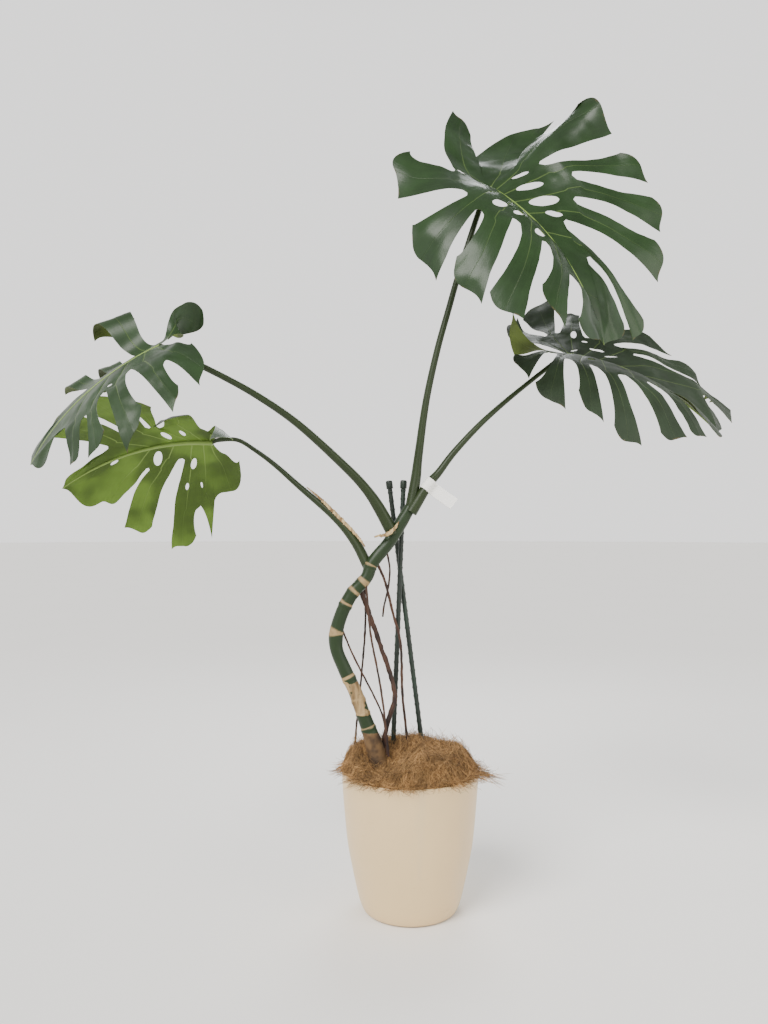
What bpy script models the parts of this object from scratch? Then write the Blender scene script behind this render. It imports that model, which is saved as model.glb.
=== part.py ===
"""Potted monstera: a leaning cane with four split leaves in a white plastic pot.

Metres, +Z up. The origin is the centre of the pot's underside, on its axis.
The plant leans in the XZ plane and is looked at along +Y.
"""

import math
from collections import namedtuple

import bmesh
import bpy
from mathutils import Matrix, Vector

# ---------------------------------------------------------------- driving dimensions

GAP = 0.0003              # air kept between pieces that touch
WELD = 0.00005            # points closer than this are one point
POT_HEIGHT = 0.283
POT_RIM_RADIUS = 0.140
POT_FOOT_RADIUS = 0.080
POT_WALL = 0.0035
POT_FLOOR = 0.005
DRAIN_HOLES = 6
DRAIN_HOLE_RADIUS = 0.006
DRAIN_RING_RADIUS = 0.045

SOIL_TOP = 0.255
MULCH_PEAK = 0.345
STEM_FOOT = 0.215         # how deep the cane goes into the soil
STAKE_FOOT = 0.060        # how deep the stakes go into the soil

STAKE_RADIUS = 0.0055
STAKE_CAP_RADIUS = 0.0072
STAKE_CAP_LENGTH = 0.018

BLADE_THICKNESS = 0.0016
BLADE_ROWS = 6            # steps from midrib to lobe tip
BLADE_COLUMNS = 2         # steps across a lobe
SINUS_BLEND = (-0.12, 0.05)   # metres along the midrib over which the fold sets in

# ---------------------------------------------------------------- the plant's layout

# A tube is a list of (x, y, z, radius) stations that a smooth curve passes through.
CANE = [
    (-0.060, -0.022, STEM_FOOT, 0.0190), (-0.065, -0.022, 0.290, 0.0190),
    (-0.074, -0.020, 0.340, 0.0165), (-0.093, -0.020, 0.393, 0.0145),
    (-0.112, -0.020, 0.447, 0.0140), (-0.135, -0.020, 0.495, 0.0135),
    (-0.151, -0.020, 0.540, 0.0135), (-0.146, -0.020, 0.588, 0.0135),
    (-0.123, -0.020, 0.640, 0.0135), (-0.090, -0.018, 0.678, 0.0130),
    (-0.078, -0.014, 0.708, 0.0130), (-0.046, -0.008, 0.747, 0.0130),
    (-0.019, -0.003, 0.790, 0.0130), (0.000, 0.000, 0.822, 0.0120),
]

STALKS = {
    "top": [
        (0.004, 0.002, 0.826, 0.0110), (0.012, 0.006, 0.880, 0.0095),
        (0.018, 0.006, 0.930, 0.0080), (0.034, 0.006, 1.043, 0.0072),
        (0.057, 0.008, 1.148, 0.0068), (0.080, 0.010, 1.231, 0.0065),
        (0.104, 0.012, 1.315, 0.0062), (0.141, 0.014, 1.430, 0.0060),
        (0.157, 0.016, 1.472, 0.0058),
    ],
    "right": [
        (0.014, -0.006, 0.834, 0.0085), (0.037, -0.002, 0.868, 0.0080),
        (0.060, 0.004, 0.895, 0.0075), (0.092, 0.010, 0.937, 0.0070),
        (0.145, 0.020, 0.994, 0.0062), (0.201, 0.040, 1.045, 0.0055),
        (0.264, 0.062, 1.097, 0.0050), (0.325, 0.090, 1.143, 0.0045),
    ],
    "upper_left": [
        (-0.035, -0.010, 0.768, 0.0130), (-0.062, -0.018, 0.818, 0.0120),
        (-0.089, -0.022, 0.858, 0.0100), (-0.130, -0.030, 0.902, 0.0090),
        (-0.222, -0.060, 0.985, 0.0078), (-0.299, -0.080, 1.038, 0.0070),
        (-0.374, -0.090, 1.079, 0.0062), (-0.470, -0.098, 1.124, 0.0055),
    ],
    "lower_left": [
        (-0.085, -0.008, 0.699, 0.0110), (-0.114, 0.006, 0.753, 0.0100),
        (-0.156, 0.018, 0.803, 0.0085), (-0.231, 0.040, 0.867, 0.0065),
        (-0.285, 0.058, 0.914, 0.0055), (-0.330, 0.070, 0.947, 0.0048),
        (-0.368, 0.080, 0.973, 0.0042), (-0.408, 0.094, 0.972, 0.0042),
    ],
}

# Aerial roots are thin tubes with one radius each; all but one reach the mulch.
AERIAL_ROOTS = [
    (0.0050, [(-0.104, -0.012, 0.662), (-0.088, 0.000, 0.615), (-0.062, 0.006, 0.540),
              (-0.040, 0.002, 0.475), (-0.031, -0.004, 0.430), (-0.045, -0.010, 0.385),
              (-0.056, -0.010, 0.340)]),
    (0.0028, [(-0.070, -0.008, 0.712), (-0.052, 0.012, 0.670), (-0.034, 0.018, 0.600),
              (-0.019, 0.018, 0.540), (-0.016, 0.018, 0.450), (-0.012, 0.018, 0.400),
              (-0.003, 0.016, 0.335)]),
    (0.0022, [(-0.094, -0.010, 0.668), (-0.092, 0.018, 0.590), (-0.098, 0.028, 0.500),
              (-0.106, 0.028, 0.420), (-0.116, 0.024, 0.320)]),
    (0.0022, [(-0.090, -0.026, 0.668), (-0.081, -0.036, 0.570), (-0.064, -0.040, 0.480),
              (-0.052, -0.040, 0.400), (-0.044, -0.038, 0.335)]),
    (0.0020, [(-0.142, -0.014, 0.580), (-0.114, -0.016, 0.515), (-0.080, -0.021, 0.450),
              (-0.054, -0.023, 0.390), (-0.047, -0.027, 0.335)]),
    (0.0020, [(-0.050, 0.000, 0.742), (-0.042, 0.020, 0.700), (-0.044, 0.022, 0.660),
              (-0.054, 0.020, 0.615), (-0.056, 0.020, 0.595)]),
]

# The stakes lean across each other behind the cane: (head, foot) of each axis.
STAKES = {
    "left": (Vector((-0.041, 0.046, 0.862)), Vector((0.060, 0.046, STAKE_FOOT))),
    "right": (Vector((-0.013, 0.030, 0.862)), Vector((-0.045, 0.030, STAKE_FOOT))),
}

# The paper label is folded around the right stalk and sticks out to the lower right.
LABEL_WIDTH = 0.024
LABEL_LENGTH = 0.066
LABEL_THICKNESS = 0.0010
LABEL_SLACK = 0.0012      # air between the stalk and the fold round it

# Dry husks: papery strips left where a leaf sheath has withered.
HUSKS = {
    "husk_upper": (0.0022, [(-0.072, -0.024, 0.763), (-0.052, -0.026, 0.769),
                            (-0.036, -0.024, 0.773), (-0.024, -0.018, 0.788)]),
    "husk_lower": (0.0026, [(-0.094, -0.004, 0.744), (-0.106, 0.000, 0.763),
                            (-0.130, 0.006, 0.788), (-0.160, 0.015, 0.817),
                            (-0.186, 0.025, 0.840)]),
}

# ---------------------------------------------------------------- leaf blades

# A lobe is given on the flat blade in units of the midrib's length: u runs from the
# stalk to the leaf's tip and v out to the side. The outline goes from the slit behind,
# out to the shoulder, across the cut end to the tip, and back to the slit in front.
# A slit of None leaves the lobe joined to the next one. bends curl the free part down, or
# up when negative: one angle in degrees for each equal stretch of it. roll turns that part
# about its own length, necks draw its back and front edges in, and keel raises its back edge.
Lobe = namedtuple("Lobe", "shoulder tip slit bends roll necks keel",
                  defaults=((), 0, (0.02, 0.02), 0))

# turn is heading, pitch and roll, in degrees. arch bends the midrib down and lift bends the
# lobes behind the stalk up; droop bends each half down: all are curvatures, 1/m.
# twist is in degrees per metre, and fold raises each half from the midrib, in degrees.
# marks are where the lobes part along the midrib, ending at the leaf's tip.
Leaf = namedtuple("Leaf", "joint turn length arch lift twist fold droop marks left right")

LEAVES = {
    "top": Leaf(
        joint=(0.165, 0.017, 1.489), turn=(-33, 35, 15), length=0.43,
        arch=1.8, lift=2.5, twist=-30, fold=(36, 17), droop=(-1.2, 5.7),
        marks=(0.02, 0.06, 0.12, 0.20, 0.31, 0.47, 1.0),
        left=(
            Lobe((-0.32, 0.25), (-0.47, 0.80), (-0.02, 0.22), necks=(-0.02, -0.12)),
            Lobe((0.00, 0.70), (0.19, 0.62), (0.08, 0.26), necks=(-0.20, 0.0), keel=0.030),
            Lobe((0.28, 0.60), (0.43, 0.58), (0.23, 0.31)),
            Lobe((0.50, 0.57), (0.62, 0.50), (0.32, 0.23)),
            Lobe((0.66, 0.47), (0.80, 0.39), (0.39, 0.11)),
            Lobe((0.95, 0.26), (1.01, 0.17), (0.59, 0.10)),
            Lobe((0.95, 0.15), (1.00, 0.00), None, necks=(0, 0))),
        right=(
            Lobe((-0.45, -0.28), (-0.58, -0.22), (-0.16, 0.09), necks=(-0.01, -0.05)),
            Lobe((-0.40, 0.22), (-0.19, 0.41), (0.09, 0.30)),
            Lobe((0.00, 0.60), (0.38, 0.72), (0.23, 0.36)),
            Lobe((0.38, 0.63), (0.66, 0.64), (0.35, 0.24)),
            Lobe((0.65, 0.60), (0.82, 0.52), (0.50, 0.18)),
            Lobe((0.72, 0.37), (0.91, 0.35), (0.69, 0.16)),
            Lobe((0.92, 0.27), (1.00, 0.00), None))),
    "right": Leaf(
        joint=(0.340, 0.100, 1.160), turn=(-9, 9, 16), length=0.38,
        arch=1.85, lift=0.5, twist=-8, fold=(20, 7), droop=(-1.2, 5.0),
        marks=(0.01, 0.03, 0.07, 0.14, 0.25, 0.38, 0.52, 1.0),
        left=(
            Lobe((-0.34, 0.14), (-0.32, 0.50), (-0.12, 0.24), bends=(-25,)),
            Lobe((-0.28, 0.58), (-0.10, 0.72), (-0.06, 0.28), bends=(-15, 0), necks=(0, 0)),
            Lobe((-0.03, 0.55), (0.05, 0.48), (0.10, 0.21)),
            Lobe((0.25, 0.46), (0.59, 0.44), (0.27, 0.22)),
            Lobe((0.66, 0.45), (0.80, 0.33), (0.38, 0.19)),
            Lobe((0.84, 0.32), (1.03, 0.42), None, necks=(0, 0)),
            Lobe((1.03, 0.42), (1.07, 0.31), (0.82, 0.21), necks=(0, 0)),
            Lobe((1.00, 0.18), (1.00, 0.00), None)),
        right=(
            Lobe((-0.32, -0.06), (-0.36, 0.14), (-0.11, 0.08), bends=(-50,), roll=70),
            Lobe((-0.29, 0.20), (-0.17, 0.38), (-0.06, 0.10)),
            Lobe((-0.14, 0.44), (0.05, 0.58), (0.02, 0.21)),
            Lobe((0.11, 0.50), (0.30, 0.62), (0.15, 0.24)),
            Lobe((0.38, 0.65), (0.58, 0.66), (0.31, 0.27)),
            Lobe((0.66, 0.56), (0.79, 0.45), (0.47, 0.20)),
            Lobe((0.80, 0.40), (0.89, 0.34), (0.61, 0.14)),
            Lobe((0.94, 0.24), (1.00, 0.00), None))),
    "upper_left": Leaf(
        joint=(-0.489, -0.100, 1.136), turn=(196, 28, -39), length=0.37,
        arch=2.0, lift=0.5, twist=-50, fold=(23, -25), droop=(2.6, 5.0),
        marks=(0.04, 0.12, 0.22, 0.34, 0.50, 0.95),
        left=(
            Lobe((-0.15, 0.20), (-0.03, 0.54), (0.05, 0.32), necks=(0.03, 0.05)),
            Lobe((0.06, 0.53), (0.15, 0.65), (0.21, 0.16)),
            Lobe((0.26, 0.50), (0.44, 0.62), (0.37, 0.19)),
            Lobe((0.48, 0.43), (0.62, 0.43), (0.51, 0.23)),
            Lobe((0.66, 0.38), (0.72, 0.36), (0.64, 0.14)),
            Lobe((0.86, 0.14), (0.95, 0.00), None)),
        right=(
            Lobe((-0.32, -0.28), (-0.54, -0.12), (-0.02, 0.10), bends=(-65, 0, 140, 0, 0)),
            Lobe((0.12, 0.62), (0.48, 0.60), (0.12, 0.10), bends=(-110, 125)),
            Lobe((0.24, 0.50), (0.46, 0.56), (0.30, 0.12), bends=(-45, 60)),
            Lobe((0.50, 0.50), (0.66, 0.44), (0.46, 0.08), bends=(-45, 60)),
            Lobe((0.72, 0.38), (0.84, 0.28), (0.66, 0.06)),
            Lobe((0.88, 0.12), (0.95, 0.00), None))),
    "lower_left": Leaf(
        joint=(-0.426, 0.100, 0.967), turn=(173, -4, 33), length=0.40,
        arch=2.7, lift=0.5, twist=22, fold=(0, -4), droop=(1.5, 2.7),
        marks=(0.03, 0.08, 0.15, 0.27, 0.40, 0.86),
        left=(
            Lobe((-0.16, 0.10), (-0.14, 0.32), (0.02, 0.10), bends=(60,)),
            Lobe((0.06, 0.34), (0.22, 0.38), (0.26, 0.12), bends=(50,)),
            Lobe((0.25, 0.37), (0.40, 0.46), (0.31, 0.14), necks=(0, 0)),
            Lobe((0.40, 0.49), (0.60, 0.50), (0.42, 0.12), necks=(0, 0)),
            Lobe((0.60, 0.42), (0.76, 0.34), (0.55, 0.08), necks=(0, 0)),
            Lobe((0.76, 0.06), (0.86, 0.00), None)),
        right=(
            Lobe((-0.13, 0.18), (0.06, 0.40), None),
            Lobe((0.06, 0.40), (0.11, 0.64), (0.17, 0.45)),
            Lobe((0.24, 0.63), (0.45, 0.64), (0.20, 0.12), necks=(0.02, 0.01)),
            Lobe((0.54, 0.50), (0.69, 0.40), (0.40, 0.14), necks=(0.0, 0.0)),
            Lobe((0.58, 0.24), (0.74, 0.20), None, necks=(-0.02, 0)),
            Lobe((0.84, 0.12), (0.86, 0.00), None))),
}


def smooth_step(value, low, high):
    t = min(1.0, max(0.0, (value - low) / (high - low)))
    return t * t * (3 - 2 * t)


def blade_point(leaf, u, v):
    """The curved blade in its own frame: +X along the midrib, +Y left, +Z the upper side."""
    arch = leaf.arch if u >= 0 else -leaf.lift
    angle = arch * u
    spine = Vector((math.sin(angle) / arch, 0, (math.cos(angle) - 1) / arch))
    frame = Matrix.Rotation(angle, 3, "Y") @ Matrix.Rotation(math.radians(leaf.twist) * u, 3, "X")
    side = 0 if v >= 0 else 1
    fold = math.radians(leaf.fold[side]) * smooth_step(u, *SINUS_BLEND)
    droop = leaf.droop[side]
    lean = fold - droop * abs(v)
    across = (math.sin(fold) - math.sin(lean)) / droop
    rise = (math.cos(lean) - math.cos(fold)) / droop
    return spine + frame @ Vector((0, math.copysign(across, v), rise))


def curve_point(start, end, bulge, t):
    """A quadratic curve from start to end whose middle is pushed aside by bulge."""
    handle = (start + end) / 2 + bulge * 2
    return start * (1 - t) ** 2 + handle * 2 * t * (1 - t) + end * t ** 2


def slit_rows(slit, root, tip, rows):
    """How many rows of a lobe lie inside its slit's closed part."""
    closed = (slit - root).length
    free = (tip - slit).length
    return min(rows - 1, max(1, round(rows * closed / (closed + free))))


def side_edges(leaf, lobes, rows):
    """The back and front edge of each lobe, as flat points from the midrib outwards."""
    marks = [0.0, *leaf.marks]
    edges = []
    back_slit, back_rows = Vector((0, 0)), 0
    for index, lobe in enumerate(lobes):
        shoulder, tip = Vector(lobe.shoulder), Vector(lobe.tip)
        root_back, root_front = Vector((marks[index], 0)), Vector((marks[index + 1], 0))
        last = index == len(lobes) - 1
        slit = tip if lobe.slit is None else Vector(lobe.slit)
        front_rows = rows if lobe.slit is None else slit_rows(slit, root_front, tip, rows)
        inward = (shoulder - tip).normalized()
        back, front = [], []
        for row in range(rows + 1):
            if row <= back_rows:
                back.append(root_back.lerp(back_slit, row / max(1, back_rows)))
            else:
                t = (row - back_rows) / (rows - back_rows)
                back.append(curve_point(back_slit, shoulder, -inward * lobe.necks[0], t))
            if last or row <= front_rows:
                front.append(root_front.lerp(slit, row / front_rows))
            else:
                t = (row - front_rows) / (rows - front_rows)
                front.append(curve_point(slit, tip, inward * lobe.necks[1], t))
        edges.append((back, front, max(back_rows, front_rows)))
        back_slit, back_rows = slit, front_rows
    return edges


def arc_offset(distance, length, bends):
    """How far a point goes on and falls along a strip whose equal stretches each curl."""
    stretch = length / len(bends)
    heading = ahead = fall = 0.0
    for bend in bends:
        run = min(distance, stretch)
        distance -= run
        turn = math.radians(bend) * run / stretch
        chord = run if abs(turn) < 0.001 else run * math.sin(turn / 2) / (turn / 2)
        ahead += chord * math.cos(heading + turn / 2)
        fall += chord * math.sin(heading + turn / 2)
        heading += turn
    return ahead + distance * math.cos(heading), fall + distance * math.sin(heading)


def curl(points, start_row, lobe):
    """Roll the rows of a lobe past start_row about its length, then curl them across it."""
    bends = lobe.bends or (0,)
    middle = len(points[0]) // 2
    start = list(points[start_row])
    reach = points[-1][middle] - start[middle]
    out = reach.normalized()
    up = out.cross(start[-1] - start[0]).normalized()
    if up.z < 0:
        up.negate()
    for row in points[start_row + 1:]:
        for column, point in enumerate(row):
            past = max(0.0, (point - start[column]).dot(out))
            roll = math.radians(lobe.roll) * smooth_step(past / reach.length, 0, 0.6)
            point = start[middle] + Matrix.Rotation(roll, 3, out) @ (point - start[middle])
            ahead, fall = arc_offset(past, reach.length, bends)
            row[column] = point + out * (ahead - past) - up * fall


def blade_mesh(name, leaf, rows, columns):
    mesh = bpy.data.meshes.new(name)
    shape = bmesh.new()
    for side, lobes in ((1, leaf.left), (-1, leaf.right)):
        for lobe, (back, front, free_row) in zip(lobes, side_edges(leaf, lobes, rows)):
            points = []
            for row in range(rows + 1):
                line = []
                for column in range(columns + 1):
                    flat = back[row].lerp(front[row], column / columns) * leaf.length
                    lift = lobe.keel * (1 - column / columns) * smooth_step(row / rows, 0.15, 0.6)
                    line.append(blade_point(leaf, flat.x, side * flat.y) + Vector((0, 0, lift)))
                points.append(line)
            if lobe.bends or lobe.roll:
                curl(points, free_row, lobe)
            grid = [[shape.verts.new(point) for point in row] for row in points]
            for row in range(rows):
                for column in range(columns):
                    corners = [grid[row][column], grid[row + 1][column],
                               grid[row + 1][column + 1], grid[row][column + 1]]
                    shape.faces.new(corners if side < 0 else corners[::-1])
    bmesh.ops.remove_doubles(shape, verts=shape.verts, dist=WELD)
    bmesh.ops.dissolve_degenerate(shape, edges=shape.edges, dist=WELD)
    shape.to_mesh(mesh)
    shape.free()
    return mesh


# ---------------------------------------------------------------- small tools

def start_clean():
    for thing in list(bpy.data.objects):
        bpy.data.objects.remove(thing, do_unlink=True)


def collection(name):
    group = bpy.data.collections.new(name)
    bpy.context.scene.collection.children.link(group)
    return group


def material(name, colour, roughness, metallic=0.0):
    paint = bpy.data.materials.new(name)
    paint.use_nodes = True
    surface = paint.node_tree.nodes["Principled BSDF"]
    surface.inputs["Base Color"].default_value = (*colour, 1)
    surface.inputs["Roughness"].default_value = roughness
    surface.inputs["Metallic"].default_value = metallic
    paint.diffuse_color = (*colour, 1)
    return paint


def add_object(name, data, group, paint=None):
    thing = bpy.data.objects.new(name, data)
    group.objects.link(thing)
    if paint:
        data.materials.append(paint)
    return thing


def as_cutter(thing):
    thing.hide_render = True
    thing.display_type = "WIRE"
    return thing


def through(stations, steps):
    """Points of a smooth curve that passes through every station."""
    stations = [Vector(station) for station in stations]
    ends = [stations[0] * 2 - stations[1], *stations, stations[-1] * 2 - stations[-2]]
    points = []
    for a, b, c, d in zip(ends, ends[1:], ends[2:], ends[3:]):
        for step in range(steps):
            t = step / steps
            points.append(((b * 2) + (c - a) * t + (a * 2 - b * 5 + c * 4 - d) * t ** 2
                           + (b * 3 - a - c * 3 + d) * t ** 3) / 2)
    points.append(stations[-1])
    return points


def tube_mesh(name, points, sides, grow=0.0):
    """A closed tube through (x, y, z, radius) points, as a mesh with welded caps."""
    curve = bpy.data.curves.new(name, "CURVE")
    curve.dimensions = "3D"
    curve.bevel_depth = 1.0
    curve.bevel_resolution = sides // 2 - 2
    curve.use_fill_caps = True
    spline = curve.splines.new("POLY")
    spline.points.add(len(points) - 1)
    for knot, point in zip(spline.points, points):
        knot.co = (point[0], point[1], point[2], 1)
        knot.radius = point[3] + grow
    guide = bpy.data.objects.new(name, curve)
    bpy.context.scene.collection.objects.link(guide)
    evaluated = guide.evaluated_get(bpy.context.evaluated_depsgraph_get())
    mesh = bpy.data.meshes.new_from_object(evaluated)
    bpy.data.objects.remove(guide)
    bpy.data.curves.remove(curve)
    shape = bmesh.new()
    shape.from_mesh(mesh)
    bmesh.ops.remove_doubles(shape, verts=shape.verts, dist=WELD)
    bmesh.ops.recalc_face_normals(shape, faces=shape.faces)
    shape.to_mesh(mesh)
    shape.free()
    mesh.name = name
    mesh.shade_smooth()
    return mesh


def cut(thing, cutters):
    for cutter in cutters:
        trim = thing.modifiers.new("cut " + cutter.name, "BOOLEAN")
        trim.operation = "DIFFERENCE"
        trim.solver = "EXACT"
        trim.object = cutter


def turned(name, profile, group, paint, steps):
    """A solid of revolution about Z from (radius, z) points that run up inside, down outside."""
    mesh = bpy.data.meshes.new(name)
    shape = bmesh.new()
    points = [shape.verts.new((radius, 0, z)) for radius, z in profile]
    for first, second in zip(points, points[1:]):
        shape.edges.new((first, second))
    shape.to_mesh(mesh)
    shape.free()
    thing = add_object(name, mesh, group, paint)
    screw = thing.modifiers.new("turn", "SCREW")
    screw.steps = steps
    screw.render_steps = steps
    screw.use_merge_vertices = True
    screw.merge_threshold = WELD
    return thing


# ---------------------------------------------------------------- pot, soil and mulch

# Outer wall of the pot as (radius, z), from the foot to the rim.
POT_WALL_LINE = [
    (POT_FOOT_RADIUS, 0.0), (0.097, 0.005), (0.104, 0.022), (0.112, 0.055), (0.1205, 0.096),
    (0.1285, 0.140), (0.1345, 0.200), (0.1385, 0.250), (POT_RIM_RADIUS, POT_HEIGHT),
]


def inner_wall(clearance):
    """The pot's inner wall line, set in from the outer one by the wall and a clearance."""
    inset = POT_WALL + clearance
    floor = POT_FLOOR + clearance
    line = [(radius - inset, z) for radius, z in POT_WALL_LINE if z > floor]
    foot = POT_WALL_LINE[1][0] - inset
    return [(foot, floor), *line]


def radius_at(line, height):
    for (low_r, low_z), (high_r, high_z) in zip(line, line[1:]):
        if low_z <= height <= high_z:
            return low_r + (high_r - low_r) * (height - low_z) / (high_z - low_z)
    return line[-1][0]


def build_pot(group, cutters):
    paint = material("ivory plastic", (0.80, 0.71, 0.53), 0.35)
    profile = [(0, POT_FLOOR), *inner_wall(0), *reversed(POT_WALL_LINE), (0, 0)]
    pot = turned("pot", profile, group, paint, 48)
    for index in range(DRAIN_HOLES):
        angle = 2 * math.pi * index / DRAIN_HOLES
        bpy.ops.mesh.primitive_cylinder_add(
            vertices=12, radius=DRAIN_HOLE_RADIUS, depth=POT_FLOOR * 4,
            location=(DRAIN_RING_RADIUS * math.cos(angle), DRAIN_RING_RADIUS * math.sin(angle), 0))
        drill = bpy.context.object
        drill.name = f"drain_cutter_{index}"
        move_to(drill, cutters)
        cut(pot, [as_cutter(drill)])
    return pot


def move_to(thing, group):
    for other in list(thing.users_collection):
        other.objects.unlink(thing)
    group.objects.link(thing)


def build_soil(group, cutters):
    line = [point for point in inner_wall(GAP) if point[1] < SOIL_TOP]
    edge = radius_at(inner_wall(GAP), SOIL_TOP)
    profile = [(0, SOIL_TOP), (edge, SOIL_TOP), *reversed(line), (0, POT_FLOOR + GAP)]
    soil = turned("soil", profile, group, material("soil", (0.05, 0.035, 0.022), 1.0), 40)
    cut(soil, cutters)
    return soil


def build_mulch(group, cutters):
    base = SOIL_TOP + GAP
    line = inner_wall(GAP)
    edge = radius_at(line, base)
    rim = line[-1][0]
    profile = [(0, MULCH_PEAK), (0.060, 0.342), (0.100, 0.333), (0.124, 0.318),
               (rim - 0.002, 0.300), (rim, POT_HEIGHT), (edge, base), (0, base)]
    mulch = turned("coir_mulch", profile, group, material("coir", (0.42, 0.24, 0.10), 1.0), 40)
    cut(mulch, cutters)
    return mulch


# ---------------------------------------------------------------- cane, stalks, roots, stakes

def tube(name, points, sides, group, paint, trimmers=()):
    thing = add_object(name, tube_mesh(name, points, sides), group, paint)
    cut(thing, trimmers)
    return thing


def tube_cutter(name, points, sides, group):
    """The same tube a gap thicker, for trimming whatever meets it."""
    return as_cutter(add_object(f"{name}_cutter", tube_mesh(name, points, sides, GAP), group))


def build_cane(group, cutters):
    points = through(CANE, 2)
    tube("cane", points, 12, group, material("cane", (0.10, 0.17, 0.06), 0.5))
    return tube_cutter("cane", points, 12, cutters)


def build_stalks(group, cutters, cane_cutter):
    """Each stalk is cut off where it leaves the cane, and the right one by the top one too."""
    paint = material("stalk", (0.13, 0.20, 0.06), 0.45)
    trimmers = [cane_cutter]
    for name, stations in STALKS.items():
        points = through(stations, 3)
        tube(f"stalk_{name}", points, 8, group, paint, trimmers)
        trimmers.append(tube_cutter(f"stalk_{name}", points, 8, cutters))
    return trimmers


def root_points(radius, route, steps):
    return through([(*point, radius) for point in route], steps)


def build_roots(group, cutters, trimmers):
    paint = material("aerial root", (0.13, 0.06, 0.03), 0.7)
    root_cutters = []
    for index, (radius, route) in enumerate(AERIAL_ROOTS, 1):
        name = f"aerial_root_{index}"
        points = root_points(radius, route, 3)
        tube(name, points, 8, group, paint, trimmers)
        root_cutters.append(tube_cutter(name, points, 8, cutters))
    return root_cutters


def build_husks(group, trimmers):
    paint = material("dry husk", (0.55, 0.42, 0.24), 0.8)
    for name, (radius, route) in HUSKS.items():
        tube(name, root_points(radius, route, 3), 8, group, paint, trimmers)


def build_label(group):
    """A strip closed round the stalk: a ring with a flat tail, drawn across the stalk."""
    below, place, above = (Vector(station[:3]) for station in STALKS["right"][:3])
    ring_inner = STALKS["right"][1][3] + LABEL_SLACK
    ring_outer = ring_inner + LABEL_THICKNESS
    half = LABEL_THICKNESS
    start = math.asin(half / ring_outer)
    turn = 2 * math.pi - 2 * start
    steps = 24
    outline = [(ring_outer * math.cos(start + turn * i / steps),
                ring_outer * math.sin(start + turn * i / steps)) for i in range(steps + 1)]
    outline += [(LABEL_LENGTH, -half), (LABEL_LENGTH, half)]
    hole = [(ring_inner * math.cos(2 * math.pi * i / steps),
             ring_inner * math.sin(2 * math.pi * i / steps)) for i in range(steps)]
    sheet = bpy.data.curves.new("label", "CURVE")
    sheet.dimensions = "2D"
    sheet.fill_mode = "BOTH"
    sheet.extrude = LABEL_WIDTH / 2
    for ring in (outline, hole):
        spline = sheet.splines.new("POLY")
        spline.points.add(len(ring) - 1)
        for knot, (x, y) in zip(spline.points, ring):
            knot.co = (x, y, 0, 1)
        spline.use_cyclic_u = True
    label = add_object("label", sheet, group, material("label card", (0.85, 0.85, 0.82), 0.6))
    along = (above - below).normalized()
    tail = along.cross(Vector((0, 1, 0))).normalized()
    if tail.z > 0:
        tail.negate()
    frame = Matrix((tail, along.cross(tail), along)).transposed()
    label.matrix_world = Matrix.Translation(place) @ frame.to_4x4()


def build_stakes(group, cutters):
    stem_paint = material("stake coating", (0.02, 0.06, 0.03), 0.5)
    cap_paint = material("stake cap", (0.02, 0.05, 0.03), 0.4)
    stake_cutters = []
    for name, (head, foot) in STAKES.items():
        axis = (head - foot).normalized()
        rod = [(*foot, STAKE_RADIUS), (*head, STAKE_RADIUS)]
        tube(f"stake_{name}", rod, 10, group, stem_paint)
        stake_cutters.append(tube_cutter(f"stake_{name}", rod, 10, cutters))
        low, high = head + axis * GAP, head + axis * STAKE_CAP_LENGTH
        cap = [(*low, STAKE_CAP_RADIUS), (*high, STAKE_CAP_RADIUS)]
        tube(f"stake_cap_{name}", cap, 12, group, cap_paint)
    return stake_cutters


def build_blades(group):
    paint = material("leaf blade", (0.05, 0.14, 0.05), 0.35)
    for name, leaf in LEAVES.items():
        mesh = blade_mesh(f"blade_{name}", leaf, BLADE_ROWS, BLADE_COLUMNS)
        blade = add_object(f"blade_{name}", mesh, group, paint)
        heading, pitch, roll = (math.radians(angle) for angle in leaf.turn)
        blade.location = leaf.joint
        blade.rotation_euler = (roll, pitch, heading)
        skin = blade.modifiers.new("thickness", "SOLIDIFY")
        skin.thickness = BLADE_THICKNESS
        skin.offset = 0


def main():
    start_clean()
    parts = collection("potted_monstera")
    cutters = collection("cutters")
    cane_cutter = build_cane(parts, cutters)
    trimmers = build_stalks(parts, cutters, cane_cutter)
    root_cutters = build_roots(parts, cutters, [cane_cutter])
    stake_cutters = build_stakes(parts, cutters)
    build_husks(parts, trimmers)
    build_label(parts)
    build_blades(parts)
    build_pot(parts, cutters)
    build_soil(parts, [cane_cutter, *stake_cutters])
    build_mulch(parts, [cane_cutter, *stake_cutters, *root_cutters])


main()
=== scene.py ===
"""Potted monstera: the finished surfaces of the plant, its stakes, coir mulch and pot."""

import math
import random
from collections import namedtuple

import bmesh
import bpy
from bpy.props import FloatProperty, FloatVectorProperty, IntProperty, PointerProperty
from mathutils import Euler, Matrix, Vector, noise


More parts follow.
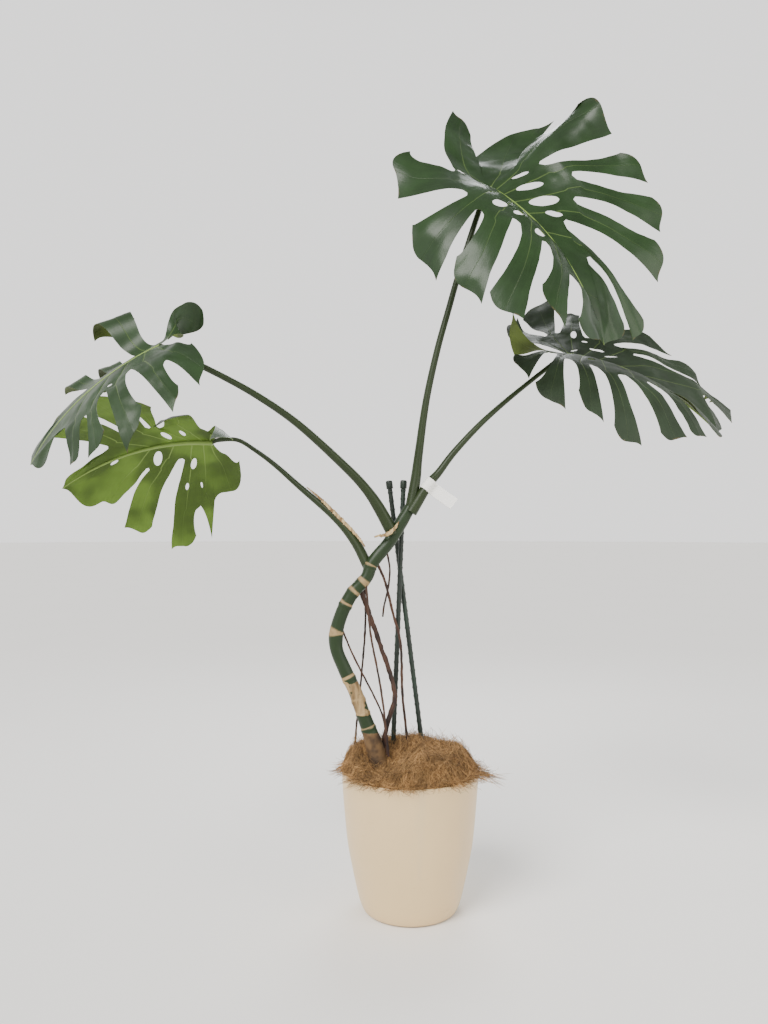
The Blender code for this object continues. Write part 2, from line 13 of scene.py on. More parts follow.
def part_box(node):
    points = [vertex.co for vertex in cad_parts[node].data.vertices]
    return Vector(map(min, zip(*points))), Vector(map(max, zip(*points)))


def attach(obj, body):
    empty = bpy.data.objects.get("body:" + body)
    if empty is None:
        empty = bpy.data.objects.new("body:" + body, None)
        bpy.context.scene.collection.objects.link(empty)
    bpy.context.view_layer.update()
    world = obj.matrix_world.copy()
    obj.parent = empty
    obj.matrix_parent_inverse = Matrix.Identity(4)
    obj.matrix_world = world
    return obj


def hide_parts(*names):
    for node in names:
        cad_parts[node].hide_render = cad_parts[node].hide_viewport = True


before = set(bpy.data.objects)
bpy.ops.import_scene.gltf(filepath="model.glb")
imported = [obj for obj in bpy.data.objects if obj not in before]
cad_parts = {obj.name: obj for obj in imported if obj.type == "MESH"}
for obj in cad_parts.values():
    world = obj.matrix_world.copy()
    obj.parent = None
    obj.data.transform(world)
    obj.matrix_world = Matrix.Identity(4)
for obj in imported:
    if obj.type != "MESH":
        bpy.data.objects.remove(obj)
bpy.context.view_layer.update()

bl_info = {
    "name": "Potted Monstera",
    "version": (1, 0, 0),
    "blender": (4, 5, 0),
    "location": "3D View > Sidebar > Monstera",
    "description": "Builds a potted monstera with split leaves, stakes and coir mulch",
    "category": "Add Mesh",
}

BODY = "root"
WELD = 0.00001            # points closer than this are one point
SHARP_ANGLE = math.radians(48)

# ---------------------------------------------------------------- the plant's layout

# Stations (x, y, z, radius) that a smooth curve passes through.
CANE = [
    (-0.060, -0.022, 0.215, 0.0210), (-0.065, -0.022, 0.290, 0.0215),
    (-0.074, -0.020, 0.340, 0.0178), (-0.093, -0.020, 0.393, 0.0145),
    (-0.112, -0.020, 0.447, 0.0140), (-0.135, -0.020, 0.495, 0.0135),
    (-0.151, -0.020, 0.540, 0.0135), (-0.146, -0.020, 0.588, 0.0135),
    (-0.123, -0.020, 0.640, 0.0135), (-0.090, -0.018, 0.678, 0.0130),
    (-0.078, -0.014, 0.708, 0.0130), (-0.046, -0.008, 0.747, 0.0130),
    (-0.019, -0.003, 0.790, 0.0130), (0.000, 0.000, 0.822, 0.0120),
]
STALKS = {
    "top": [
        (0.000, 0.000, 0.812, 0.0120), (0.012, 0.006, 0.880, 0.0108),
        (0.018, 0.006, 0.930, 0.0090), (0.034, 0.006, 1.043, 0.0074),
        (0.057, 0.008, 1.148, 0.0068), (0.080, 0.010, 1.231, 0.0065),
        (0.104, 0.012, 1.315, 0.0062), (0.141, 0.014, 1.430, 0.0060),
        (0.159, 0.016, 1.478, 0.0060), (0.167, 0.016, 1.487, 0.0050),
    ],
    "right": [
        (0.002, -0.006, 0.812, 0.0125), (0.037, -0.002, 0.868, 0.0100),
        (0.060, 0.004, 0.895, 0.0080), (0.092, 0.010, 0.937, 0.0070),
        (0.145, 0.020, 0.994, 0.0062), (0.201, 0.040, 1.045, 0.0055),
        (0.264, 0.062, 1.097, 0.0050), (0.325, 0.090, 1.145, 0.0052),
        (0.342, 0.099, 1.158, 0.0044),
    ],
    "upper_left": [
        (-0.035, -0.010, 0.768, 0.0130), (-0.062, -0.018, 0.818, 0.0120),
        (-0.089, -0.022, 0.858, 0.0100), (-0.130, -0.030, 0.902, 0.0090),
        (-0.222, -0.060, 0.985, 0.0078), (-0.299, -0.080, 1.038, 0.0070),
        (-0.374, -0.090, 1.079, 0.0062), (-0.472, -0.098, 1.126, 0.0060),
        (-0.490, -0.100, 1.134, 0.0048),
    ],
    "lower_left": [
        (-0.085, -0.008, 0.699, 0.0110), (-0.114, 0.006, 0.753, 0.0100),
        (-0.156, 0.018, 0.803, 0.0085), (-0.231, 0.040, 0.867, 0.0065),
        (-0.285, 0.058, 0.914, 0.0055), (-0.330, 0.070, 0.947, 0.0048),
        (-0.368, 0.080, 0.969, 0.0046), (-0.410, 0.095, 0.971, 0.0048),
        (-0.428, 0.100, 0.966, 0.0040),
    ],
}

# (radius, route) of each aerial root; all but the last reach the coir.
AERIAL_ROOTS = [
    (0.0050, [(-0.104, -0.012, 0.662), (-0.088, 0.000, 0.615), (-0.062, 0.006, 0.540),
              (-0.040, 0.002, 0.475), (-0.031, -0.004, 0.430), (-0.045, -0.010, 0.385),
              (-0.056, -0.010, 0.330)]),
    (0.0028, [(-0.070, -0.008, 0.712), (-0.052, 0.012, 0.670), (-0.034, 0.018, 0.600),
              (-0.019, 0.018, 0.540), (-0.016, 0.018, 0.450), (-0.012, 0.018, 0.400),
              (-0.003, 0.016, 0.325)]),
    (0.0022, [(-0.094, -0.010, 0.668), (-0.092, 0.018, 0.590), (-0.098, 0.028, 0.500),
              (-0.106, 0.028, 0.420), (-0.116, 0.024, 0.310)]),
    (0.0022, [(-0.090, -0.026, 0.668), (-0.081, -0.036, 0.570), (-0.064, -0.040, 0.480),
              (-0.052, -0.040, 0.400), (-0.044, -0.038, 0.320)]),
    (0.0020, [(-0.142, -0.014, 0.580), (-0.114, -0.016, 0.515), (-0.080, -0.021, 0.450),
              (-0.054, -0.023, 0.390), (-0.047, -0.027, 0.320)]),
    (0.0020, [(-0.050, 0.000, 0.742), (-0.042, 0.020, 0.700), (-0.044, 0.022, 0.660),
              (-0.054, 0.020, 0.615), (-0.056, 0.020, 0.595)]),
]

# (head, foot) of each stake's axis.
STAKES = {
    "left": (Vector((-0.041, 0.046, 0.862)), Vector((0.060, 0.046, 0.060))),
    "right": (Vector((-0.013, 0.030, 0.862)), Vector((-0.045, 0.030, 0.060))),
}

# Where a fallen leaf has left a pale ring round the cane: its height, its half width, and how
# much wider it is on the cane's left.
CANE_RINGS = [(0.372, 0.003, 0.6), (0.402, 0.003, 0.5), (0.428, 0.004, 0.4), (0.473, 0.004, 0.0),
              (0.562, 0.014, 0.8), (0.622, 0.0035, 0.4), (0.648, 0.005, 0.0), (0.669, 0.0065, -0.3),
              (0.700, 0.0022, 0.3)]
PAPERY = (0.402, 0.466)   # the stretch of cane that is still wrapped in dry sheath
BARK = 0.368              # below this height the cane is brown
CANE_START = 0.27         # below this height the cane is in the coir and isn't made
RIDGE = 0.0013            # how far a ring stands out of the cane

# ---------------------------------------------------------------- leaf blades

# Flat outline of a lobe, in units of the midrib's length: u runs from the stalk to the leaf's
# tip and v out to the side. It goes from the slit behind, out to the shoulder, across the cut
# end to the tip, and back to the slit in front; a slit of None leaves it joined to the next.
# bends curl the free part down, or up when negative, one angle for each equal stretch of it,
# roll turns it about its own length, necks draw its back and front edges in, and crown is how
# far its cut end swells, as a share of that end. keel is how far its back edge is raised, in
# metres.
Lobe = namedtuple("Lobe", "shoulder tip slit bends roll necks crown keel",
                  defaults=((), 0, (0.03, 0.03), 0.14, 0))

# turn is heading, pitch and roll, in degrees. arch bends the midrib down and lift bends the
# lobes behind the stalk up; droop bends each half down: all are curvatures, 1/m.
# twist is in degrees per metre, and fold raises each half from the midrib, in degrees.
# marks are where the lobes part along the midrib. A hole is (one end, other end, width).
Leaf = namedtuple("Leaf", "joint turn length arch lift twist fold droop marks left right holes")

LEAVES = {
    "top": Leaf(
        joint=(0.165, 0.017, 1.489), turn=(-33, 35, 15), length=0.43,
        arch=1.8, lift=2.5, twist=-30, fold=(36, 17), droop=(-1.2, 5.7),
        marks=(0.02, 0.06, 0.12, 0.20, 0.31, 0.47, 1.0),
        left=(
            Lobe((-0.34, 0.27), (-0.46, 0.86), (-0.02, 0.22), bends=(6,), necks=(-0.03, -0.03)),
            Lobe((0.00, 0.70), (0.19, 0.62), (0.08, 0.26), necks=(-0.14, 0.0), keel=0.032),
            Lobe((0.28, 0.60), (0.43, 0.58), (0.23, 0.31)),
            Lobe((0.50, 0.57), (0.62, 0.50), (0.32, 0.23)),
            Lobe((0.66, 0.47), (0.80, 0.39), (0.39, 0.11)),
            Lobe((0.95, 0.26), (1.01, 0.17), (0.59, 0.10)),
            Lobe((0.95, 0.15), (1.00, 0.00), None, necks=(0, 0))),
        right=(
            Lobe((-0.45, -0.28), (-0.58, -0.22), (-0.16, 0.09), necks=(-0.01, -0.05)),
            Lobe((-0.40, 0.22), (-0.19, 0.41), (0.09, 0.30)),
            Lobe((0.00, 0.60), (0.38, 0.72), (0.23, 0.36)),
            Lobe((0.38, 0.63), (0.66, 0.64), (0.35, 0.24)),
            Lobe((0.65, 0.60), (0.82, 0.52), (0.50, 0.18)),
            Lobe((0.72, 0.37), (0.91, 0.35), (0.69, 0.16)),
            Lobe((0.92, 0.27), (1.00, 0.00), None)),
        holes=(
            ((0.04, 0.11), (0.08, 0.19), 0.026), ((0.11, 0.07), (0.17, 0.19), 0.040),
            ((0.21, 0.055), (0.28, 0.18), 0.064), ((0.30, 0.075), (0.36, 0.13), 0.034),
            ((-0.17, -0.07), (-0.12, -0.05), 0.020), ((0.22, -0.265), (0.23, -0.17), 0.052),
            ((0.31, -0.205), (0.30, -0.13), 0.042), ((0.45, -0.19), (0.43, -0.12), 0.050))),
    "right": Leaf(
        joint=(0.340, 0.100, 1.160), turn=(-9, 9, 16), length=0.38,
        arch=1.85, lift=0.5, twist=-8, fold=(20, 7), droop=(-1.2, 5.0),
        marks=(0.01, 0.03, 0.07, 0.14, 0.25, 0.38, 0.52, 1.0),
        left=(
            Lobe((-0.34, 0.14), (-0.32, 0.50), (-0.12, 0.24), bends=(-25,)),
            Lobe((-0.28, 0.58), (-0.10, 0.72), (-0.06, 0.28), bends=(-15, 0), necks=(0, 0)),
            Lobe((-0.03, 0.55), (0.05, 0.48), (0.10, 0.21)),
            Lobe((0.25, 0.46), (0.59, 0.44), (0.27, 0.22)),
            Lobe((0.66, 0.45), (0.80, 0.33), (0.38, 0.19)),
            Lobe((0.84, 0.32), (1.03, 0.42), None, necks=(0, 0), crown=0),
            Lobe((1.03, 0.42), (1.07, 0.31), (0.82, 0.21), necks=(0, 0), crown=0),
            Lobe((1.00, 0.18), (1.00, 0.00), None)),
        right=(
            Lobe((-0.32, -0.06), (-0.36, 0.14), (-0.11, 0.08), bends=(-50,), roll=70),
            Lobe((-0.29, 0.20), (-0.17, 0.38), (-0.06, 0.10)),
            Lobe((-0.14, 0.44), (0.05, 0.58), (0.02, 0.21)),
            Lobe((0.11, 0.50), (0.30, 0.62), (0.15, 0.24)),
            Lobe((0.38, 0.65), (0.58, 0.66), (0.31, 0.27)),
            Lobe((0.66, 0.56), (0.79, 0.45), (0.47, 0.20)),
            Lobe((0.80, 0.40), (0.89, 0.34), (0.61, 0.14)),
            Lobe((0.94, 0.24), (1.00, 0.00), None)),
        holes=(
            ((0.03, 0.28), (0.04, 0.20), 0.030), ((0.03, 0.04), (0.07, 0.065), 0.018),
            ((0.08, 0.17), (0.12, 0.175), 0.017), ((0.13, 0.115), (0.22, 0.115), 0.027),
            ((0.22, 0.065), (0.30, 0.105), 0.018), ((0.12, -0.165), (0.17, -0.12), 0.017),
            ((0.25, -0.05), (0.30, -0.04), 0.017), ((0.37, -0.04), (0.41, -0.05), 0.020))),
    "upper_left": Leaf(
        joint=(-0.489, -0.100, 1.136), turn=(196, 28, -39), length=0.37,
        arch=2.0, lift=0.5, twist=-50, fold=(23, -25), droop=(2.6, 5.0),
        marks=(0.04, 0.12, 0.22, 0.34, 0.50, 0.95),
        left=(
            Lobe((-0.15, 0.20), (-0.03, 0.54), (0.05, 0.32), necks=(0.03, 0.05)),
            Lobe((0.06, 0.53), (0.15, 0.65), (0.21, 0.16)),
            Lobe((0.26, 0.50), (0.44, 0.62), (0.37, 0.19)),
            Lobe((0.48, 0.43), (0.62, 0.43), (0.51, 0.23)),
            Lobe((0.66, 0.38), (0.72, 0.36), (0.64, 0.14)),
            Lobe((0.86, 0.14), (0.95, 0.00), None)),
        right=(
            Lobe((-0.36, 0.18), (-0.30, 0.62), (-0.02, 0.10), bends=(-50, 80, 60), roll=150,
                 crown=0),
            Lobe((0.12, 0.62), (0.48, 0.60), (0.12, 0.10), bends=(-105, 60, 75)),
            Lobe((0.24, 0.50), (0.46, 0.56), (0.30, 0.12), bends=(-45, 60)),
            Lobe((0.50, 0.50), (0.66, 0.44), (0.46, 0.08), bends=(-45, 60)),
            Lobe((0.72, 0.38), (0.84, 0.28), (0.66, 0.06)),
            Lobe((0.88, 0.12), (0.95, 0.00), None)),
        holes=(((0.34, 0.155), (0.31, 0.17), 0.022),)),
    "lower_left": Leaf(
        joint=(-0.426, 0.100, 0.967), turn=(173, -4, 33), length=0.40,
        arch=2.7, lift=0.5, twist=22, fold=(0, -4), droop=(1.5, 2.7),
        marks=(0.03, 0.08, 0.15, 0.27, 0.40, 0.86),
        left=(
            Lobe((-0.16, 0.10), (-0.14, 0.32), (0.02, 0.10), bends=(60,)),
            Lobe((0.06, 0.34), (0.22, 0.38), (0.26, 0.12), bends=(50,)),
            Lobe((0.25, 0.37), (0.40, 0.46), (0.31, 0.14), necks=(0, 0)),
            Lobe((0.40, 0.49), (0.60, 0.50), (0.42, 0.12), necks=(0, 0)),
            Lobe((0.60, 0.42), (0.76, 0.34), (0.55, 0.08), necks=(0, 0)),
            Lobe((0.76, 0.06), (0.86, 0.00), None)),
        right=(
            Lobe((-0.13, 0.18), (0.06, 0.40), None, crown=0.34),
            Lobe((0.06, 0.40), (0.11, 0.64), (0.17, 0.45), crown=0),
            Lobe((0.24, 0.63), (0.45, 0.64), (0.20, 0.12), necks=(0.02, 0.01)),
            Lobe((0.54, 0.50), (0.69, 0.40), (0.40, 0.14), necks=(0.0, 0.0)),
            Lobe((0.58, 0.24), (0.74, 0.20), None, necks=(-0.02, 0), crown=0.3),
            Lobe((0.84, 0.12), (0.86, 0.00), None, crown=0.2)),
        holes=(
            ((0.22, 0.035), (0.26, 0.095), 0.031), ((0.14, 0.05), (0.16, 0.095), 0.026),
            ((0.31, -0.04), (0.35, -0.14), 0.046), ((0.13, -0.125), (0.16, -0.205), 0.032),
            ((0.21, -0.295), (0.23, -0.345), 0.020), ((0.13, -0.305), (0.13, -0.34), 0.014),
            ((0.53, -0.015), (0.58, -0.03), 0.022))),
}

SINUS_BLEND = (-0.12, 0.05)   # metres along the midrib over which the fold sets in
LOBE_ROWS = 44                # steps from the midrib to a lobe's tip
LOBE_COLUMNS = 16             # steps across a lobe
SLIT_ROUND = 0.015            # radius of a slit's round bottom, in midrib lengths
SHOULDER_ROUND = 0.16         # how much of a lobe's back corner is cut back, of its end
NECK_LIMIT = 0.12             # the most that a neck is drawn in, of the lobe's end
VEIN_LINE = 0.5               # where the side vein runs across a lobe
RIGHT_STRIPS = 20             # the right half's lobes are numbered on from here
NECK_SCALE = 3.1              # brings the neck's curve to about 1 where it is narrowest
NECK_SKEW = 0.7               # under 1, it is narrowest nearer the slit than the cut end
CROWN_SCALE = 9               # brings the crown's curve to about 1 where it swells most
CROWN_TURN = 0.82             # past this much of the way across, the cut end falls back
HOLE_CORE = 0.3               # a hole's border point nearer its middle than this stays there
NO_VEIN = 1.0                 # a width in metres that leaves a leaf's last lobe without a side vein
WAVES = (16, 0.0060)          # slow waves of a blade: how many a metre, and their height
RIPPLES = (55, 0.0012)        # the same for its small ripples
CREST = (0.006, 0.58, 0.2)    # height of the swell along a lobe, where it is, and its width
RIB_BASE, RIB_TAPER = 0.0046, 0.0034     # the midrib's half width, and how much it loses
VEIN_BASE, VEIN_TAPER = 0.0016, 0.0012   # the same for a side vein


def smooth_step(value, low, high):
    t = min(1.0, max(0.0, (value - low) / (high - low)))
    return t * t * (3 - 2 * t)


def blade_point(leaf, u, v):
    """A point of the curved blade in its own frame, and the upper side's normal there."""
    arch = leaf.arch if u >= 0 else -leaf.lift
    angle = arch * u
    spine = Vector((math.sin(angle) / arch, 0, (math.cos(angle) - 1) / arch))
    turn = Matrix.Rotation(angle, 3, "Y") @ Matrix.Rotation(math.radians(leaf.twist) * u, 3, "X")
    side = 0 if v >= 0 else 1
    fold = math.radians(leaf.fold[side]) * smooth_step(u, *SINUS_BLEND)
    droop = leaf.droop[side]
    lean = fold - droop * abs(v)
    across = (math.sin(fold) - math.sin(lean)) / droop
    rise = (math.cos(lean) - math.cos(fold)) / droop
    place = spine + turn @ Vector((0, math.copysign(across, v), rise))
    normal = turn @ Vector((0, -math.copysign(math.sin(lean), v), math.cos(lean)))
    return place, normal


def edge_point(start, end, neck, t):
    """A lobe's free edge: drawn in by neck near the slit, and flaring out to the cut end."""
    return start.lerp(end, t) + neck * NECK_SCALE * t ** NECK_SKEW * (1 - t)


def slit_offset(inward, length, t):
    """How far a free edge stands off at t along it, so that the slit's bottom is round."""
    if t == 0 or math.isinf(length) or length < 3 * SLIT_ROUND:
        return inward * 0
    near = min(1.0, t * length / SLIT_ROUND)
    return inward * SLIT_ROUND * math.sqrt(1 - (1 - near) ** 2) * (1 - t)


def slit_rows(slit, root, tip, rows):
    """How many of a lobe's rows lie behind the slit's bottom, where it is still joined."""
    closed = (slit - root).length
    free = (tip - slit).length
    return min(rows - 1, max(1, round(rows * closed / (closed + free))))


def side_edges(leaf, lobes, rows):
    """The back and front edge of each lobe, as flat points from the midrib outwards."""
    marks = [0.0, *leaf.marks]
    edges = []
    back_slit, back_rows = Vector((0, 0)), 0
    for index, lobe in enumerate(lobes):
        shoulder, tip = Vector(lobe.shoulder), Vector(lobe.tip)
        root_back, root_front = Vector((marks[index], 0)), Vector((marks[index + 1], 0))
        last = index == len(lobes) - 1
        slit = tip if lobe.slit is None else Vector(lobe.slit)
        front_rows = rows if lobe.slit is None else slit_rows(slit, root_front, tip, rows)
        inward = (shoulder - tip).normalized()
        limit = NECK_LIMIT * (shoulder - tip).length
        necks = [min(limit, neck) for neck in lobe.necks]
        back, front = [], []
        for row in range(rows + 1):
            if row <= back_rows:
                back.append(root_back.lerp(back_slit, row / max(1, back_rows)))
            else:
                t = (row - back_rows) / (rows - back_rows)
                length = (shoulder - back_slit).length if back_rows else math.inf
                offset = slit_offset(-inward, length, t)
                back.append(edge_point(back_slit, shoulder, -inward * necks[0], t) + offset)
            if last or row <= front_rows:
                front.append(root_front.lerp(slit, row / front_rows))
            else:
                t = (row - front_rows) / (rows - front_rows)
                offset = slit_offset(inward, (tip - slit).length, t)
                front.append(edge_point(slit, tip, inward * necks[1], t) + offset)
        edges.append((back, front, max(back_rows, front_rows)))
        back_slit, back_rows = slit, front_rows
    return edges


def arc_offset(distance, length, bends):
    """How far a point goes on and falls along a strip whose equal stretches each curl."""
    stretch = length / len(bends)
    heading = ahead = fall = 0.0
    for bend in bends:
        run = min(distance, stretch)
        distance -= run
        turn = math.radians(bend) * run / stretch
        chord = run if abs(turn) < 0.001 else run * math.sin(turn / 2) / (turn / 2)
        ahead += chord * math.cos(heading + turn / 2)
        fall += chord * math.sin(heading + turn / 2)
        heading += turn
    return ahead + distance * math.cos(heading), fall + distance * math.sin(heading)


class Curl:
    """Curls the free rows of one lobe about an axis across it."""

    def __init__(self, leaf, side, flat, start_row, lobe):
        def solid(point):
            return blade_point(leaf, point.x * leaf.length, side * point.y * leaf.length)[0]
        self.start_row = start_row
        self.bends = lobe.bends or (0,)
        self.roll = math.radians(lobe.roll)
        self.start = [solid(point) for point in flat[start_row]]
        middle = len(self.start) // 2
        reach = solid(flat[-1][middle]) - self.start[middle]
        self.length = reach.length
        self.out = reach.normalized()
        self.up = self.out.cross(self.start[-1] - self.start[0]).normalized()
        if self.up.z < 0:
            self.up.negate()

    def bent(self, point, row, column):
        if row <= self.start_row:
            return point
        past = max(0.0, (point - self.start[column]).dot(self.out))
        centre = self.start[len(self.start) // 2]
        turn = Matrix.Rotation(self.roll * smooth_step(past / self.length, 0, 0.6), 3, self.out)
        point = centre + turn @ (point - centre)
        ahead, fall = arc_offset(past, self.length, self.bends)
        return point + self.out * (ahead - past) - self.up * fall


def first_strip(side):
    return 0 if side > 0 else RIGHT_STRIPS


def add_lobe(shape, layers, leaf, side, index, edges, joined):
    """One lobe as a flat grid, with what its material and its bending need kept on it."""
    back, front, _ = edges
    lobes = leaf.left if side > 0 else leaf.right
    lobe = lobes[index]
    last = index == len(lobes) - 1
    end = (back[-1] - front[-1]).length
    rounding = 0 if joined else SHOULDER_ROUND
    out = (front[-1] + back[-1] - front[0] - back[0]).normalized()
    verts = bmesh.ops.create_grid(shape, x_segments=LOBE_COLUMNS, y_segments=LOBE_ROWS)["verts"]
    flat = []
    for row in range(LOBE_ROWS + 1):
        reach = row / LOBE_ROWS
        line = []
        for column in range(LOBE_COLUMNS + 1):
            across = column / LOBE_COLUMNS
            swell = lobe.crown * CROWN_SCALE * across * (1 - across) * (CROWN_TURN - across) * reach ** 4
            swell -= rounding * (1 - across) ** 5 * reach ** 8
            point = back[row].lerp(front[row], across) + out * swell * end
            line.append(point)
            vert = verts[row * (LOBE_COLUMNS + 1) + column]
            vert.co = (point.x, side * point.y, 0)
            width = NO_VEIN if last else (front[row] - back[row]).length * leaf.length
            vert[layers["lane"]] = index + across + first_strip(side)
            vert[layers["reach"]] = reach
            vert[layers["rib"]] = point.y * leaf.length
            vert[layers["vein"]] = abs(across - VEIN_LINE) * width
            vert[layers["strip"]] = index + first_strip(side)
            vert[layers["raise"]] = lobe.keel * (1 - across) ** 1.5 * smooth_step(reach, 0.15, 0.6)
            vert[layers["row"]] = row
            vert[layers["column"]] = column
        flat.append(line)
    return flat


def pierce(shape, holes):
    """Open the holes: drop the faces inside each and draw its border out to an oval."""
    for first, second, width in holes:
        first, second = Vector((*first, 0)), Vector((*second, 0))
        centre = (first + second) / 2
        along = (second - first).normalized()
        across = Vector((-along.y, along.x, 0))
        half_length, half_width = (second - first).length / 2, width / 2

        def inside(point):
            offset = point - centre
            return Vector((offset.dot(along) / half_length, offset.dot(across) / half_width, 0))

        gone = [face for face in shape.faces if inside(face.calc_center_median()).length < 1]
        border = {vert for face in gone for vert in face.verts}
        bmesh.ops.delete(shape, geom=gone, context="FACES")
        for vert in border:
            if vert.is_valid:
                place = inside(vert.co)
                if place.length > HOLE_CORE:
                    place.normalize()
                    vert.co = centre + along * place.x * half_length + across * place.y * half_width


def unevenness(u, v, lane, reach, pucker, seed):
    """How far a blade's surface stands off its smooth form: quilting, waves and a crest."""
    free = smooth_step(reach, 0.45, 0.75)
    quilt = pucker * abs(math.cos(math.pi * lane)) ** 0.8 * (1 - 2.2 * free)
    often, high = WAVES
    wave = noise.noise(Vector((u * often, v * often, seed))) * high * (0.3 + reach)
    often, high = RIPPLES
    ripple = noise.noise(Vector((u * often, v * often, seed + 9))) * high
    high, middle, width = CREST
    return quilt + wave + ripple + high * math.exp(-((reach - middle) / width) ** 2)


def blade_shape(leaf, thickness, pucker, seed):
    """The whole blade: laid flat lobe by lobe, welded, pierced, then bent and given its wall."""
    shape = bmesh.new()
    layers = {name: shape.verts.layers.float.new(name)
              for name in ("lane", "reach", "rib", "vein", "under", "raise")}
    layers.update({name: shape.verts.layers.int.new(name) for name in ("strip", "row", "column")})
    curls = {}
    for side, lobes in ((1, leaf.left), (-1, leaf.right)):
        for index, edges in enumerate(side_edges(leaf, lobes, LOBE_ROWS)):
            joined = index > 0 and lobes[index - 1].slit is None
            flat = add_lobe(shape, layers, leaf, side, index, edges, joined)
            if lobes[index].bends or lobes[index].roll:
                curls[index + first_strip(side)] = Curl(leaf, side, flat, edges[2], lobes[index])
    bmesh.ops.remove_doubles(shape, verts=shape.verts, dist=WELD)
    bmesh.ops.dissolve_degenerate(shape, edges=shape.edges, dist=WELD)
    pierce(shape, leaf.holes)
    shape.normal_update()
    bmesh.ops.reverse_faces(shape, faces=[face for face in shape.faces if face.normal.z < 0])
    heading, pitch, roll = (math.radians(angle) for angle in leaf.turn)
    place = Matrix.Translation(leaf.joint) @ Euler((roll, pitch, heading)).to_matrix().to_4x4()
    for vert in shape.verts:
        u, v = vert.co.x * leaf.length, vert.co.y * leaf.length
        point, up = blade_point(leaf, u, v)
        away = smooth_step(abs(v), 0.002, 0.03)
        reach = vert[layers["reach"]]
        uneven = unevenness(u, v, vert[layers["lane"]], reach, pucker, seed)
        point += up * (uneven + vert[layers["raise"]]) * away
        curl = curls.get(vert[layers["strip"]])
        if curl:
            point = curl.bent(point, vert[layers["row"]], vert[layers["column"]])
        vert.co = place @ point
        taper = RIB_BASE - RIB_TAPER * min(1, max(0, u / leaf.length))
        vert[layers["rib"]] = math.hypot(v, min(0, u)) / taper
        vert[layers["vein"]] /= VEIN_BASE - VEIN_TAPER * reach
    shape.normal_update()
    upper = set(shape.verts)
    bmesh.ops.solidify(shape, geom=shape.faces[:], thickness=thickness)
    for vert in shape.verts:
        vert[layers["under"]] = 0.0 if vert in upper else 1.0
    return shape, place


# ---------------------------------------------------------------- modelling tools

def through(stations, step):
    """Points about step apart on a smooth curve through every (x, y, z, radius) station."""
    stations = [Vector(station) for station in stations]
    ends = [stations[0] * 2 - stations[1], *stations, stations[-1] * 2 - stations[-2]]
    points = []
    for a, b, c, d in zip(ends, ends[1:], ends[2:], ends[3:]):
        steps = max(2, round((c - b).length / step))
        for index in range(steps):
            t = index / steps
            points.append(((b * 2) + (c - a) * t + (a * 2 - b * 5 + c * 4 - d) * t ** 2
                           + (b * 3 - a - c * 3 + d) * t ** 3) / 2)
    points.append(stations[-1])
    return points


def patch(shape, columns, rows, place):
    """A grid whose points are set by place(column, row)."""
    verts = bmesh.ops.create_grid(shape, x_segments=columns, y_segments=rows)["verts"]
    for index, vert in enumerate(verts):
        vert.co = place(index % (columns + 1), index // (columns + 1))
    return verts


def tube(shape, points, sides, swell=None):
    """A closed tube through (x, y, z, radius) points; swell(distance, angle) adds to its radius."""
    centres = [Vector(point[:3]) for point in points]
    distances = [0.0]
    for a, b in zip(centres, centres[1:]):
        distances.append(distances[-1] + (b - a).length)
    ways = []
    for index in range(len(centres)):
        ahead = centres[min(index + 1, len(centres) - 1)]
        behind = centres[max(index - 1, 0)]
        ways.append((ahead - behind).normalized())
    side = ways[0].orthogonal().normalized()
    sides_at = []
    for way in ways:
        side = (side - way * side.dot(way)).normalized()
        sides_at.append((side.copy(), way.cross(side)))
    along = shape.verts.layers.float.get("along") or shape.verts.layers.float.new("along")

    def place(column, row):
        angle = 2 * math.pi * (column % sides) / sides
        radius = points[row][3]
        if swell:
            radius += swell(distances[row], angle)
        first, second = sides_at[row]
        return centres[row] + (first * math.cos(angle) + second * math.sin(angle)) * radius

    verts = patch(shape, sides, len(points) - 1, place)
    for index, vert in enumerate(verts):
        vert[along] = distances[index // (sides + 1)]
    bmesh.ops.remove_doubles(shape, verts=verts, dist=WELD)
    border = [edge for edge in shape.edges if edge.is_boundary]
    bmesh.ops.holes_fill(shape, edges=border, sides=0)
    return distances


def add_piece(name, shape, paint, slot, *replaced):
    """Finish a shape as a piece of the model, standing for the CAD nodes that are named."""
    mesh = bpy.data.meshes.new(name)
    shape.to_mesh(mesh)
    shape.free()
    mesh.shade_smooth()
    mesh.set_sharp_from_angle(angle=SHARP_ANGLE)
    mesh.materials.append(paint)
    piece = bpy.data.objects.new(name, mesh)
    bpy.context.scene.collection.objects.link(piece)
    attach(piece, BODY)
    if replaced:
        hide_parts(*replaced)
    return piece


def outward(shape):
    bmesh.ops.recalc_face_normals(shape, faces=shape.faces)
    return shape


# ---------------------------------------------------------------- shader tools

class Number:
    """A shader value that adds, subtracts and scales as a number does."""

    def __init__(self, paint, socket):
        self.paint = paint
        self.socket = socket

    def _math(self, operation, first, second):
        return self.paint.node("ShaderNodeMath", {"operation": operation}, {0: first, 1: second})

    def __add__(self, other):
        return self._math("ADD", self, other)

    def __sub__(self, other):
        return self._math("SUBTRACT", self, other)

    def __rsub__(self, other):
        return self._math("SUBTRACT", other, self)

    def __mul__(self, other):
        return self._math("MULTIPLY", self, other)

    __radd__ = __add__
    __rmul__ = __mul__

    def rise(self, low, high):
        """0 below low, 1 above high and smooth between; the other way when high is lower."""
        return self.paint.node("ShaderNodeMapRange", {"interpolation_type": "SMOOTHSTEP"},
                               {"Value": self, "From Min": low, "From Max": high})


